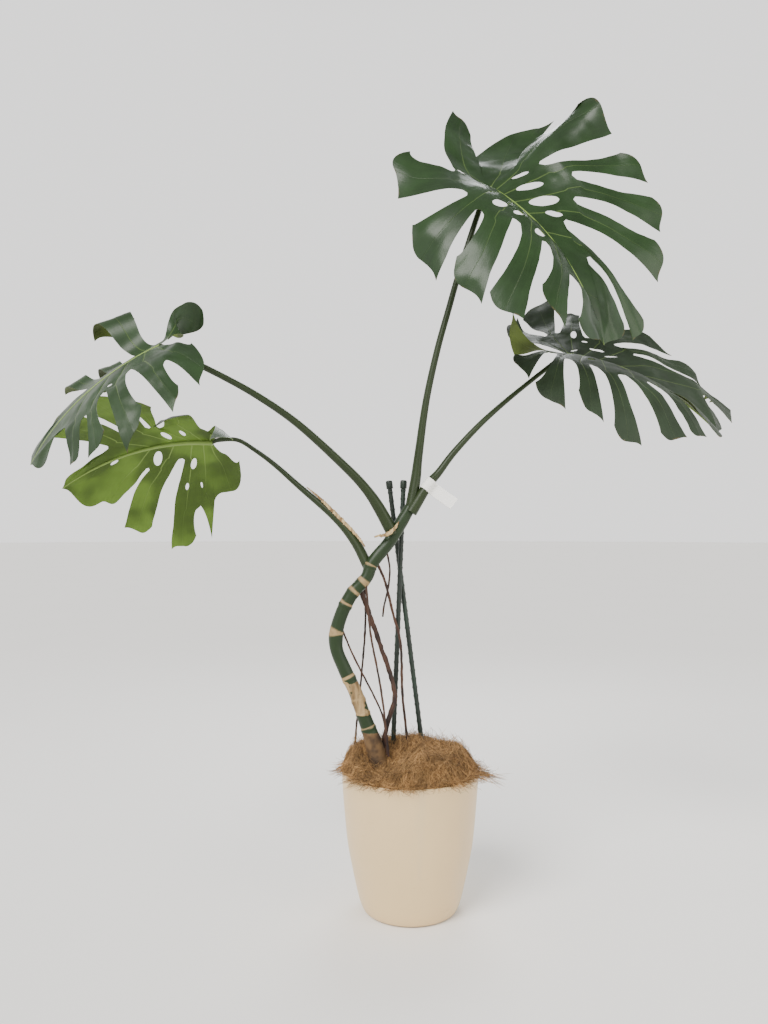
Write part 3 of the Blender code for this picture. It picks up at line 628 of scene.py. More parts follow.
class Paint:
    """A material in the making, or the studio's air when given the world's node tree."""

    def __init__(self, name, tree=None, **fixed):
        if tree:
            self.tree = tree
            return
        self.material = bpy.data.materials.new(name)
        self.material.use_nodes = True
        self.tree = self.material.node_tree
        self.surface = self.tree.nodes["Principled BSDF"]
        for socket, value in fixed.items():
            self.surface.inputs[socket.replace("_", " ")].default_value = value

    def node(self, kind, settings, inputs, output=0):
        """Add any node: its settings first, then the values or links of its sockets."""
        node = self.tree.nodes.new(kind)
        for name, value in settings.items():
            setattr(node, name, value)
        for socket, value in inputs.items():
            self.feed(node.inputs[socket], value)
        return Number(self, node.outputs[output])

    def feed(self, socket, value):
        if isinstance(value, Number):
            self.tree.links.new(value.socket, socket)
        elif socket.type == "RGBA":
            socket.default_value = (*value[:3], 1)
        else:
            socket.default_value = value

    def wear(self, **inputs):
        """Feed the surface's own sockets."""
        for name, value in inputs.items():
            self.feed(self.surface.inputs[name.replace("_", " ")], value)
        return self.material

    def own(self, name):
        return self.node("ShaderNodeAttribute", {"attribute_name": name}, {}, "Fac")

    def place(self, scale=(1, 1, 1)):
        where = self.node("ShaderNodeTexCoord", {}, {}, "Object")
        return self.node("ShaderNodeMapping", {}, {"Vector": where, "Scale": scale})

    def lanes(self, across, along):
        """A vector that runs with the veins of a leaf blade."""
        return self.node("ShaderNodeCombineXYZ", {}, {
            "X": self.own("lane") * across, "Y": self.own("reach") * along})

    def noise(self, where, scale, detail=3.0, roughness=0.5):
        return self.node("ShaderNodeTexNoise", {}, {
            "Vector": where, "Scale": scale, "Detail": detail, "Roughness": roughness})

    def mix(self, factor, first, second):
        """Colours: first where factor is 0 and second where it is 1."""
        return self.node("ShaderNodeMix", {"data_type": "RGBA"},
                         {0: factor, 6: first, 7: second}, 2)

    def shade(self, colour, amount):
        """A colour made darker or lighter by a number."""
        return self.node("ShaderNodeMix", {"data_type": "RGBA", "blend_type": "MULTIPLY"},
                         {0: 1.0, 6: colour, 7: amount}, 2)

    def bump(self, height, distance, strength=1.0):
        return self.node("ShaderNodeBump", {}, {
            "Height": height, "Distance": distance, "Strength": strength})


# ---------------------------------------------------------------- finishes

def leaf_finish(name, upper, under, rib, gloss, veins):
    """A leaf blade: dark and glossy above, paler below, with a pale midrib and fine veins."""
    paint = Paint(name, IOR=1.45, Specular_IOR_Level=0.24, Coat_Weight=0.05, Coat_Roughness=0.25)
    below = paint.own("under")
    broad = paint.noise(paint.place(), 18.0)
    fine = paint.noise(paint.lanes(9.0, 2.5), 1.0, 5.0, 0.6)
    colour = paint.mix(below, upper, under)
    # painted dappled light and shade: noise patches made lighter, strong on the underside and faint
    # above
    dappled_light = paint.noise(paint.place(), 9.0, 2.0).rise(0.40, 0.60)
    colour = paint.shade(colour, 0.30 + broad * 0.70 + fine * 0.35 + dappled_light * (0.1 + below * 0.7))
    vein = 1 - paint.own("vein").rise(0.2, 1.5)
    fade = 1 - paint.own("reach").rise(0.25, 0.85) * 0.75
    colour = paint.mix(vein * fade * veins, colour, rib)
    midrib = 1 - paint.own("rib").rise(0.55, 1.05)
    colour = paint.mix(midrib, colour, rib)
    dry = paint.own("reach").rise(0.985, 1.0) * paint.noise(paint.place(), 60.0).rise(0.54, 0.64)
    colour = paint.mix(dry * 0.7, colour, (0.10, 0.07, 0.03))
    roughness = gloss + below * 0.16 + paint.noise(paint.place(), 45.0) * 0.12 + dry * 0.3
    height = fine * paint.own("reach").rise(0.1, 0.5) * 0.6 + vein * -0.5
    return paint.wear(Base_Color=colour, Roughness=roughness, Normal=paint.bump(height, 0.0006))


def stem_finish(name, green, dry):
    """Green stem with faint streaks, and its scars and papery stretches as marked on it."""
    paint = Paint(name, IOR=1.45, Specular_IOR_Level=0.35)
    broad = paint.noise(paint.place(), 30.0)
    streaks = paint.noise(paint.place((90, 90, 8)), 1.0, 4.0)
    colour = paint.shade(green, 0.6 + broad * 0.5 + streaks * 0.3)
    scar = paint.own("scar")
    edge = paint.noise(paint.place(), 140.0)
    torn = paint.noise(paint.place(), 50.0, 4.0) - 0.5
    papery = (paint.own("papery") + torn * 2.6).rise(0.55, 0.72)
    bark = (paint.own("bark") + (edge - 0.5) * 0.8).rise(0.35, 0.7)
    flakes = paint.mix(streaks.rise(0.35, 0.65), (0.12, 0.07, 0.028), dry)
    brown = paint.mix(broad.rise(0.35, 0.6), (0.035, 0.020, 0.010), (0.13, 0.075, 0.032))
    colour = paint.mix(bark, colour, brown)
    colour = paint.mix(papery, colour, flakes)
    colour = paint.mix(scar, colour, paint.shade(dry, 0.30 + streaks * 0.4 + edge * 0.6))
    rough = 0.36 + broad * 0.15 + (scar + papery + bark) * 0.3
    height = streaks * 0.4 + (papery + bark) * edge * 1.6
    return paint.wear(Base_Color=colour, Roughness=rough, Normal=paint.bump(height, 0.0008))


def root_finish():
    paint = Paint("root_skin", IOR=1.4)
    blotch = paint.noise(paint.place((1, 1, 0.35)), 70.0, 4.0)
    skin = paint.mix(blotch.rise(0.35, 0.65), (0.012, 0.006, 0.005), (0.060, 0.026, 0.014))
    return paint.wear(Base_Color=skin, Roughness=0.5 + blotch * 0.3,
                      Normal=paint.bump(blotch, 0.0008))


def coir_finish(name, colour):
    """Coir: each strand has its own tone, spread wide from painted shade to painted highlight, under
    painted patches of shade and light.
    """
    paint = Paint(name, IOR=1.4)
    tone_and_shade = paint.own("tone_and_shade")
    # painted patches of shade and light laid over all the strands
    shade_patches = paint.noise(paint.place(), 30.0)
    # the strands' tones run from near-black painted shade to painted highlight, besides the fibres' own
    # differences
    shaded_dark = [channel * 0.08 for channel in colour]
    lit_pale = [min(1.0, channel * 1.9) for channel in colour]
    fibre = paint.mix(tone_and_shade, shaded_dark, lit_pale)
    fibre = paint.shade(fibre, 0.10 + shade_patches * 1.5)
    return paint.wear(Base_Color=fibre, Roughness=0.72 + tone_and_shade * 0.1)


def coir_bed_finish(colour):
    paint = Paint("coir_bed", IOR=1.4)
    matted = paint.noise(paint.place(), 150.0, 6.0, 0.7)
    # near-black patches of painted shade, where gaps between the matted fibres would be
    shaded_dark = [channel * 0.16 for channel in colour]
    fibre = paint.mix(matted.rise(0.38, 0.66), shaded_dark, colour)
    return paint.wear(Base_Color=fibre, Roughness=0.9, Normal=paint.bump(matted, 0.004))


def pot_finish(colour):
    """Ivory plastic with faint scuffs, and a grubby foot."""
    paint = Paint("ivory_plastic", IOR=1.46, Coat_Weight=0.12, Coat_Roughness=0.25)
    cloud = paint.noise(paint.place(), 7.0, 4.0)
    runs = paint.noise(paint.place((14, 14, 1.2)), 1.0, 4.0)
    scuff = paint.noise(paint.place((30, 30, 160)), 1.0, 6.0, 0.7).rise(0.60, 0.72)
    height = paint.node("ShaderNodeSeparateXYZ", {}, {
        0: paint.node("ShaderNodeTexCoord", {}, {}, "Object")}, "Z")
    foot = (1 - height.rise(0.0, 0.06)) * 0.35
    body = paint.shade(colour, 0.90 + cloud * 0.16)
    body = paint.mix(runs.rise(0.55, 0.75) * 0.22, body, (0.42, 0.40, 0.30))
    body = paint.mix(scuff * (0.10 + foot), body, (0.30, 0.22, 0.12))
    return paint.wear(Base_Color=body, Roughness=0.30 + cloud * 0.14 + scuff * 0.2,
                      Normal=paint.bump(paint.noise(paint.place(), 260.0, 2.0), 0.0002))


def soil_finish():
    paint = Paint("damp_soil", IOR=1.4)
    crumbs = paint.noise(paint.place(), 180.0, 6.0, 0.7)
    soil = paint.mix(crumbs.rise(0.4, 0.6), (0.015, 0.010, 0.006), (0.075, 0.050, 0.030))
    return paint.wear(Base_Color=soil, Roughness=0.95, Normal=paint.bump(crumbs, 0.003))


def stake_finish(colour):
    paint = Paint("stake_coating", IOR=1.48)
    worn = paint.noise(paint.place((60, 60, 20)), 1.0, 4.0)
    coat = paint.mix(worn.rise(0.45, 0.7), colour, [channel * 2.0 for channel in colour])
    return paint.wear(Base_Color=coat, Roughness=0.38 + worn * 0.2,
                      Normal=paint.bump(worn, 0.0003))


def husk_finish():
    paint = Paint("dry_husk", IOR=1.4)
    streaks = paint.noise(paint.place((160, 160, 40)), 1.0, 4.0)
    husk = paint.mix(streaks.rise(0.35, 0.65), (0.16, 0.09, 0.035), (0.55, 0.40, 0.20))
    return paint.wear(Base_Color=husk, Roughness=0.7, Normal=paint.bump(streaks, 0.0006))


def card_finish():
    paint = Paint("label_card", IOR=1.45)
    grain = paint.noise(paint.place(), 500.0, 3.0)
    card = paint.mix(grain, (0.78, 0.77, 0.73), (0.90, 0.89, 0.86))
    return paint.wear(Base_Color=card, Roughness=0.55, Normal=paint.bump(grain, 0.0001))


def floor_finish():
    paint = Paint("pale_floor")
    cloud = paint.noise(paint.place(), 1.5)
    return paint.wear(Base_Color=paint.mix(cloud, (0.80, 0.79, 0.77), (0.83, 0.82, 0.80)),
                      Roughness=0.8)


# ---------------------------------------------------------------- settings

def metres(name, description, default):
    return FloatProperty(name=name, description=description, default=default, min=0.0,
                         unit="LENGTH", precision=4)


def colour_of(name, description, default):
    return FloatVectorProperty(name=name, description=description, default=default,
                               subtype="COLOR", min=0.0, max=1.0, size=3)


POT_LOW, POT_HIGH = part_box("pot")


class PotSettings(bpy.types.PropertyGroup):
    rim_radius: metres("Rim radius", "Outer radius at the rim", POT_HIGH.x)
    height: metres("Height", "Height of the pot", POT_HIGH.z)
    wall: metres("Wall", "Thickness of the moulded wall", 0.0035)
    colour: colour_of("Colour", "Colour of the plastic", (0.66, 0.48, 0.25))


class CoirSettings(bpy.types.PropertyGroup):
    strands: IntProperty(name="Strands", description="Fibres in each of the three layers",
                         default=7000, min=100, max=8000)
    strand_radius: metres("Strand radius", "Radius of one fibre", 0.00027)
    strand_length: metres("Strand length", "Mean length of one fibre", 0.032)
    colour: colour_of("Colour", "Mean colour of the fibre", (0.30, 0.17, 0.066))


class StemSettings(bpy.types.PropertyGroup):
    cane_colour: colour_of("Cane", "Green of the cane", (0.011, 0.025, 0.006))
    stalk_colour: colour_of("Stalks", "Green of the leaf stalks", (0.014, 0.025, 0.005))
    scar_colour: colour_of("Scars", "Colour of leaf scars and dry sheath", (0.36, 0.25, 0.12))
    stake_colour: colour_of("Stakes", "Colour of the stakes' coating", (0.004, 0.011, 0.006))


class LeafSettings(bpy.types.PropertyGroup):
    thickness: metres("Thickness", "Thickness of a leaf blade", 0.0009)
    pucker: metres("Pucker", "How far the blade swells between its veins", 0.0016)
    top: colour_of("Top leaf", "Upper side of the top leaf", (0.018, 0.040, 0.013))
    right: colour_of("Right leaf", "Upper side of the right leaf", (0.020, 0.034, 0.016))
    upper_left: colour_of("Upper left leaf", "Upper side of that leaf", (0.022, 0.046, 0.016))
    lower_left: colour_of("Lower left leaf", "Upper side of that leaf", (0.022, 0.050, 0.011))
    under: colour_of("Underside", "Underside of the shaded leaves", (0.050, 0.070, 0.014))
    lit_under: colour_of("Lit underside", "Underside of the leaf that the light shines through",
                         (0.062, 0.110, 0.014))
    rib: colour_of("Midrib", "Colour of midrib and veins", (0.19, 0.28, 0.07))


# ---------------------------------------------------------------- pieces

class MONSTERA_OT_pot(bpy.types.Operator):
    """Turn the pot and drill its drain holes"""
    bl_idname = "monstera.pot"
    bl_label = "Pot"

    # (radius, height) up the outside, as shares of the rim's radius and the pot's height
    WALL_LINE = [(0.693, 0.018), (0.743, 0.078), (0.800, 0.194), (0.861, 0.339), (0.918, 0.495),
                 (0.961, 0.707), (0.989, 0.883), (1.0, 1.0)]
    DRAINS = 6
    DRAIN_RING = 0.045        # how far the drain holes are from the axis
    DRAIN_RADIUS = 0.006

    def execute(self, context):
        settings = context.scene.monstera_pot
        radius, height, wall = settings.rim_radius, settings.height, settings.wall
        outer = [Vector((r * radius, z * height, 0, 0)) for r, z in self.WALL_LINE]
        outer = [(point.x, point.y) for point in through(outer, 0.010)]
        foot = [(0.0, 0.0), (0.571 * radius, 0.0), (0.645 * radius, 0.0012),
                (0.680 * radius, 0.0034)]
        inner = [(r - wall, z) for r, z in reversed(outer) if z > 2 * wall]
        lip = [(radius - wall * 0.15, height - 0.0002), (radius - wall * 0.5, height),
               (radius - wall * 0.85, height - 0.0002)]
        profile = [*foot, *outer[:-1], (radius, height - 0.0008), *lip, *inner, (0.0, 1.5 * wall)]
        shape = bmesh.new()
        verts = [shape.verts.new((r, 0, z)) for r, z in profile]
        edges = [shape.edges.new(pair) for pair in zip(verts, verts[1:])]
        bmesh.ops.spin(shape, geom=verts + edges, cent=(0, 0, 0), axis=(0, 0, 1), dvec=(0, 0, 0),
                       angle=2 * math.pi, steps=128, use_merge=True)
        bmesh.ops.remove_doubles(shape, verts=shape.verts, dist=WELD)
        outward(shape)
        pot = add_piece("ivory_pot", shape, pot_finish(settings.colour), "pot_plastic", "pot")
        self.drill(pot)
        return {"FINISHED"}

    def drill(self, pot):
        holes = bmesh.new()
        out = Matrix.Translation((self.DRAIN_RING, 0, 0))
        for index in range(self.DRAINS):
            spot = Matrix.Rotation(2 * math.pi * index / self.DRAINS, 4, "Z") @ out
            bmesh.ops.create_cone(holes, cap_ends=True, segments=24, radius1=self.DRAIN_RADIUS,
                                  radius2=self.DRAIN_RADIUS, depth=0.03, matrix=spot)
        mesh = bpy.data.meshes.new("drill")
        holes.to_mesh(mesh)
        holes.free()
        drill = bpy.data.objects.new("drill", mesh)
        bpy.context.scene.collection.objects.link(drill)
        cut = pot.modifiers.new("drain holes", "BOOLEAN")
        cut.operation = "DIFFERENCE"
        cut.object = drill
        graph = bpy.context.evaluated_depsgraph_get()
        drilled = bpy.data.meshes.new_from_object(pot.evaluated_get(graph))
        pot.modifiers.remove(cut)
        pot.data = drilled
        bpy.data.objects.remove(drill)


# (x, y, height, spread) of the places where the heap rises and where it dips
MOUNDS = [(0.01, 0.02, 0.010, 0.0010), (-0.115, 0.01, 0.018, 0.0014), (0.10, 0.0, 0.004, 0.0010)]
HOLLOWS = [(-0.060, -0.065, 0.036, 0.0026), (0.06, 0.02, 0.012, 0.0006)]


def hills(x, y, places):
    return sum(height * math.exp(-((x - at_x) ** 2 + (y - at_y) ** 2) / spread)
               for at_x, at_y, height, spread in places)


def heap_height(x, y, rim_radius, rim_height):
    """The top of the coir heap: a lumpy dome, hollow where the cane stands."""
    reach = math.hypot(x, y) / rim_radius
    dome = rim_height - 0.004 + 0.044 * (1 - min(1.0, reach) ** 9)
    lumps = noise.noise(Vector((x * 22, y * 22, 3.0))) * 0.009
    fine = noise.noise(Vector((x * 90, y * 90, 7.0))) * 0.003
    top = dome + lumps + hills(x, y, MOUNDS) - hills(x, y, HOLLOWS) + fine
    return max(rim_height - 0.006, top)


class MONSTERA_OT_coir(bpy.types.Operator):
    """Heap the coir: a matted bed, and three layers of strands on it"""
    bl_idname = "monstera.coir"
    bl_label = "Coir mulch"

    SEGMENTS = 5

    def execute(self, context):
        settings = context.scene.monstera_coir
        pot = context.scene.monstera_pot
        radius, rim = pot.rim_radius - pot.wall - 0.0005, pot.height
        self.bed(radius, rim, settings.colour)
        paint = coir_finish("coir_strand", settings.colour)
        layers = (("coir_strands_low", 11, 0.1), ("coir_strands_middle", 12, 0.4),
                  ("coir_strands_loose", 13, 1.0))
        for name, seed, loose in layers:
            shape = self.strands(settings, radius, rim, loose, random.Random(seed))
            add_piece(name, shape, paint, "coir")
        return {"FINISHED"}

    def bed(self, radius, rim, colour):
        rings, around = 44, 120
        shape = bmesh.new()

        def place(column, row):
            angle = 2 * math.pi * (column % around) / around
            reach = radius * min(1.0, row / rings)
            x, y = reach * math.cos(angle), reach * math.sin(angle)
            if row > rings:
                return Vector((x * 0.93, y * 0.93, rim - 0.026))
            return Vector((x, y, heap_height(x, y, radius, rim) - 0.002))

        patch(shape, around, rings + 1, place)
        bmesh.ops.remove_doubles(shape, verts=shape.verts, dist=WELD)
        bmesh.ops.holes_fill(shape, edges=[e for e in shape.edges if e.is_boundary], sides=0)
        add_piece("coir_mat", outward(shape), coir_bed_finish(colour), "coir", "coir_mulch")

    def strand(self, settings, radius, rim, loose, dice):
        """The points of one strand, lying on the heap with its ends free."""
        reach = radius * math.sqrt(dice.random())
        angle = dice.uniform(0, 2 * math.pi)
        x, y = reach * math.cos(angle), reach * math.sin(angle)
        swirl = noise.noise(Vector((x * 30, y * 30, 20.0))) * 7
        heading = swirl + dice.uniform(-1.6, 1.6)
        curl = dice.uniform(-0.9, 0.9)
        step = settings.strand_length * dice.uniform(0.5, 1.5) / self.SEGMENTS
        if dice.random() < 0.016 * loose:
            x, y = dice.gauss(radius * 0.95, 0.008), dice.gauss(-0.03, 0.012)
            heading, step = dice.gauss(-0.2, 0.6), step * 1.5
        lift = dice.uniform(-0.0015, 0.002 + 0.002 * loose)
        climb = dice.gauss(0, 0.0010) * (1 + 1.5 * loose)
        points = []
        for _ in range(self.SEGMENTS + 1):
            over = math.hypot(x, y) - radius
            height = heap_height(x, y, radius, rim) if over < 0 else rim + 0.002 - over * 0.3
            points.append(Vector((x, y, height + max(-0.001, lift))))
            x += step * math.cos(heading)
            y += step * math.sin(heading)
            heading += curl + dice.uniform(-0.55, 0.55)
            lift += climb
        return points

    def strands(self, settings, radius, rim, loose, dice):
        """All the strands from one long grid, cut apart and closed at every strand's ends."""
        rows = self.SEGMENTS + 1
        shape = bmesh.new()
        tone_and_shade = shape.verts.layers.float.new("tone_and_shade")
        steps = rows * settings.strands - 1
        verts = bmesh.ops.create_grid(shape, x_segments=3, y_segments=steps)["verts"]
        links = [face for index, face in enumerate(shape.faces) if (index // 3) % rows == rows - 1]
        bmesh.ops.delete(shape, geom=links, context="FACES_ONLY")
        for strand in range(settings.strands):
            points = self.strand(settings, radius, rim, loose, dice)
            # the strand's tone: partly its own colour, partly painted shade or highlight
            shade = dice.random()
            way = (points[-1] - points[0]).normalized()
            first = way.orthogonal().normalized()
            second = way.cross(first)
            for row, point in enumerate(points):
                girth = settings.strand_radius * (0 if row in (0, rows - 1) else 1)
                for column in range(4):
                    angle = 2 * math.pi * (column % 3) / 3
                    vert = verts[(strand * rows + row) * 4 + column]
                    vert.co = point + (first * math.cos(angle) + second * math.sin(angle)) * girth
                    vert[tone_and_shade] = shade
        bmesh.ops.remove_doubles(shape, verts=shape.verts, dist=WELD)
        loose_edges = [edge for edge in shape.edges if not edge.link_faces]
        bmesh.ops.delete(shape, geom=loose_edges, context="EDGES")
        return outward(shape)


class MONSTERA_OT_soil(bpy.types.Operator):
    """Give the soil in the pot its crumbly finish"""
    bl_idname = "monstera.soil"
    bl_label = "Soil"

    def execute(self, context):
        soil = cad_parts["soil"]
        soil.data.materials.clear()
        soil.data.materials.append(soil_finish())
        return {"FINISHED"}


def near(value, middle, width):
    """1 at middle, fading to 0 at width from it."""
    return max(0.0, 1 - abs(value - middle) / width)


class MONSTERA_OT_stems(bpy.types.Operator):
    """Grow the cane with its leaf scars, and the four leaf stalks"""
    bl_idname = "monstera.stems"
    bl_label = "Cane and stalks"

    def execute(self, context):
        settings = context.scene.monstera_stems
        self.cane(settings)
        paint = stem_finish("stalk_skin", settings.stalk_colour, settings.scar_colour)
        for name, stations in STALKS.items():
            shape = bmesh.new()
            self.marks(shape)
            tube(shape, through(stations, 0.004), 20, lambda s, a: 0.0003 * math.cos(3 * a))
            add_piece(f"leaf_stalk_{name}", outward(shape), paint, "green_stem", f"stalk_{name}")
        return {"FINISHED"}

    def marks(self, shape):
        return [shape.verts.layers.float.new(name) for name in ("scar", "papery", "bark")]

    def cane(self, settings):
        points = [point for point in through(CANE, 0.002) if point.z > CANE_START]
        heights = [point.z for point in points]
        shape = bmesh.new()
        scar, papery, bark = self.marks(shape)
        along = []
        total = 0.0
        for a, b in zip([points[0], *points], points):
            total += (b.xyz - a.xyz).length
            along.append(total)
        rings = []
        for height, width, lean in CANE_RINGS:
            index = min(range(len(points)), key=lambda i: abs(heights[i] - height))
            rings.append((along[index], width, lean))

        def swell(distance, angle):
            ridge = sum(RIDGE * near(distance, at, width * 1.6) for at, width, _ in rings)
            lump = noise.noise(Vector((distance * 30, math.cos(angle), math.sin(angle)))) * 0.0009
            return ridge + lump

        tube(shape, points, 32, swell)
        layer = shape.verts.layers.float["along"]
        shape.normal_update()
        for vert in shape.verts:
            s = vert[layer]
            slant = vert.co.x * 0.15 + noise.noise(vert.co * 60) * 0.003
            side = abs(vert.normal.x + 1) / 2
            vert[scar] = max(smooth_step(near(s + slant * 0.3, at, width * (1 - lean * side)),
                                         0.15, 0.5) for at, width, lean in rings)
            z = vert.co.z
            vert[papery] = smooth_step(z, PAPERY[0] - 0.006, PAPERY[0]) * (
                1 - smooth_step(z, PAPERY[1], PAPERY[1] + 0.008))
            vert[bark] = 1 - smooth_step(z, BARK - 0.008, BARK + 0.002)
        paint = stem_finish("cane_skin", settings.cane_colour, settings.scar_colour)
        add_piece("main_cane", outward(shape), paint, "green_stem", "cane")


class MONSTERA_OT_roots(bpy.types.Operator):
    """Hang the aerial roots"""
    bl_idname = "monstera.roots"
    bl_label = "Aerial roots"

    def execute(self, context):
        paint = root_finish()
        for index, (radius, route) in enumerate(AERIAL_ROOTS, 1):
            points = through([(*point, radius) for point in route], 0.004)
            shape = bmesh.new()

            def swell(distance, angle):
                bumps = noise.noise(Vector((distance * 90, index * 3.0, math.cos(angle) * 0.8)))
                return radius * 0.35 * bumps

            tube(shape, points, 12, swell)
            add_piece(f"root_{index}", outward(shape), paint, "aerial_root", f"aerial_root_{index}")
        return {"FINISHED"}


class MONSTERA_OT_stakes(bpy.types.Operator):
    """Set the two stakes, with their nubs and caps"""
    bl_idname = "monstera.stakes"
    bl_label = "Stakes"

    NUB_PITCH = 0.009
    # (distance from the stake's head, radius) of the cap's outline
    CAP = [(0.0000, 0.0068), (0.0004, 0.0072), (0.014, 0.0072), (0.0168, 0.0062), (0.0178, 0.0040)]

    def execute(self, context):
        paint = stake_finish(context.scene.monstera_stems.stake_colour)
        for name, (head, foot) in STAKES.items():
            way = (head - foot).normalized()
            foot = foot.lerp(head, 0.20)
            steps = round((head - foot).length / 0.0018)
            points = [(*foot.lerp(head, i / steps), 0.0050) for i in range(steps + 1)]

            def nubs(distance, angle):
                row = round(distance / self.NUB_PITCH)
                there = near(distance, row * self.NUB_PITCH, 0.0032)
                turn = 0.5 + 0.5 * math.cos(4 * angle + math.pi * (row % 2))
                return 0.0009 * there ** 0.6 * turn ** 6

            shape = bmesh.new()
            tube(shape, points, 32, nubs)
            add_piece(f"nubbed_stake_{name}", outward(shape), paint, "stake_coating",
                      f"stake_{name}")
            shape = bmesh.new()
            tube(shape, [(*(head + way * (0.0004 + step)), radius) for step, radius in self.CAP], 32)
            add_piece(f"cap_{name}", outward(shape), paint, "stake_coating", f"stake_cap_{name}")
        return {"FINISHED"}


PAPER_WALL = 0.0004       # thickness of the husks and of the label


def ribbon(shape, points, width, facing, ragged, seed):
    """A thin strip along points, facing one way, with ragged edges."""
    rows = len(points) - 1

    def place(column, row):
        way = (points[min(row + 1, rows)] - points[max(row - 1, 0)]).normalized()
        side = way.cross(facing).normalized()
        t = row / rows
        taper = math.sin(math.pi * (0.12 + 0.8 * t))
        tear = 1 + ragged * noise.noise(Vector((row * 0.9, column // 4 * 5.0, seed)))
        offset = (column / 4 - 0.5) * width * taper * tear
        cup = facing * (0.25 * width * (abs(column - 2) / 2) ** 2)
        return points[row] + side * offset - cup

    patch(shape, 4, rows, place)
    shape.normal_update()
    bmesh.ops.solidify(shape, geom=shape.faces[:], thickness=PAPER_WALL)


class MONSTERA_OT_husks(bpy.types.Operator):
    """Lay the dry husks on the stems"""
    bl_idname = "monstera.husks"
    bl_label = "Dry husks"

    ROUTES = {
        "upper": [(-0.073, -0.024, 0.762), (-0.064, -0.026, 0.765), (-0.052, -0.0315, 0.766),
                  (-0.040, -0.0300, 0.772), (-0.030, -0.0230, 0.782), (-0.023, -0.0180, 0.793)],
        "lower": [(-0.092, -0.010, 0.742), (-0.103, -0.006, 0.758), (-0.122, 0.000, 0.779),
                  (-0.150, 0.0055, 0.807), (-0.187, 0.020, 0.843), (-0.215, 0.028, 0.866)],
    }

    def execute(self, context):
        paint = husk_finish()
        for index, (name, route) in enumerate(self.ROUTES.items()):
            shape = bmesh.new()
            points = [point.xyz for point in through([(*point, 0) for point in route], 0.003)]
            ribbon(shape, points, 0.008, Vector((0.25, -1, 0.35)).normalized(), 0.7, index)
            add_piece(f"dry_husk_{name}", outward(shape), paint, "dry_husk", f"husk_{name}")
        return {"FINISHED"}


class MONSTERA_OT_label(bpy.types.Operator):
    """Fold the blank label round the right stalk"""
    bl_idname = "monstera.label"
    bl_label = "Label"

    RADIUS = 0.0114                          # of the loop round the stalk
    REACH = 0.066                            # from the stalk's axis to the tail's end
    WIDTH = 0.026
    BELOW = Vector((0.014, -0.006, 0.834))   # a place under the label, on the stalk's line there

    def execute(self, context):
        radius, length = self.RADIUS, self.REACH
        place, above = (Vector(station[:3]) for station in STALKS["right"][1:3])
        along = (above - self.BELOW).normalized()
        tail = along.cross(Vector((0, 1, 0))).normalized()
        if tail.z > 0:
            tail.negate()
        over = along.cross(tail)
        arc = [(radius * math.cos(a), radius * math.sin(a)) for a in
               (math.radians(8 + 344 * step / 32) for step in range(33))]
        run = [(length - (length - radius) * (step / 14), 0.0009) for step in range(14)]
        line = run + arc + [(x, -z) for x, z in reversed(run)]
        shape = bmesh.new()

        def spot(column, row):
            x, z = line[row]
            sag = -0.006 * (max(0.0, x) / length) ** 2
            across = along * self.WIDTH * (column / 6 - 0.5)
            return place + tail * x + over * (z + sag) + across

        patch(shape, 6, len(line) - 1, spot)
        shape.normal_update()
        bmesh.ops.solidify(shape, geom=shape.faces[:], thickness=PAPER_WALL)
        add_piece("blank_label", outward(shape), card_finish(), "label_card", "label")
        return {"FINISHED"}


class MONSTERA_OT_leaves(bpy.types.Operator):
    """Grow the four leaf blades and the midribs under them"""
    bl_idname = "monstera.leaves"
    bl_label = "Leaves"

    GLOSS = {"top": 0.27, "right": 0.48, "upper_left": 0.33, "lower_left": 0.40}

    def execute(self, context):
        settings = context.scene.monstera_leaves
        for seed, (name, leaf) in enumerate(LEAVES.items()):
            lit = name == "lower_left"
            under = settings.lit_under if lit else settings.under
            paint = leaf_finish(f"leaf_{name}", getattr(settings, name), under, settings.rib,
                                self.GLOSS[name], 0.75 if lit else 0.28)
            shape, place = blade_shape(leaf, settings.thickness, settings.pucker, seed * 5.0)
            add_piece(f"leaf_{name}", shape, paint, "leaf_blade", f"blade_{name}")
            self.midrib(name, leaf, place, paint)
        return {"FINISHED"}

    def midrib(self, name, leaf, place, paint):
        """A rib that stands out under the blade and thins towards its tip."""
        end = leaf.marks[-1]
        points = []
        for step in range(61):
            t = step / 60
            spine, up = blade_point(leaf, t * end * leaf.length * 0.985, 0)
            radius = 0.0046 * (1 - t) ** 0.8 + 0.0007
            points.append((*(place @ (spine - up * radius * 0.75)), radius))
        shape = bmesh.new()
        rib = shape.verts.layers.float.new("rib")
        for layer in ("lane", "reach", "under", "vein"):
            shape.verts.layers.float.new(layer)
        tube(shape, points, 16)
        for vert in shape.verts:
            vert[rib] = 0.62
        add_piece(f"midrib_{name}", outward(shape), paint, "leaf_blade")


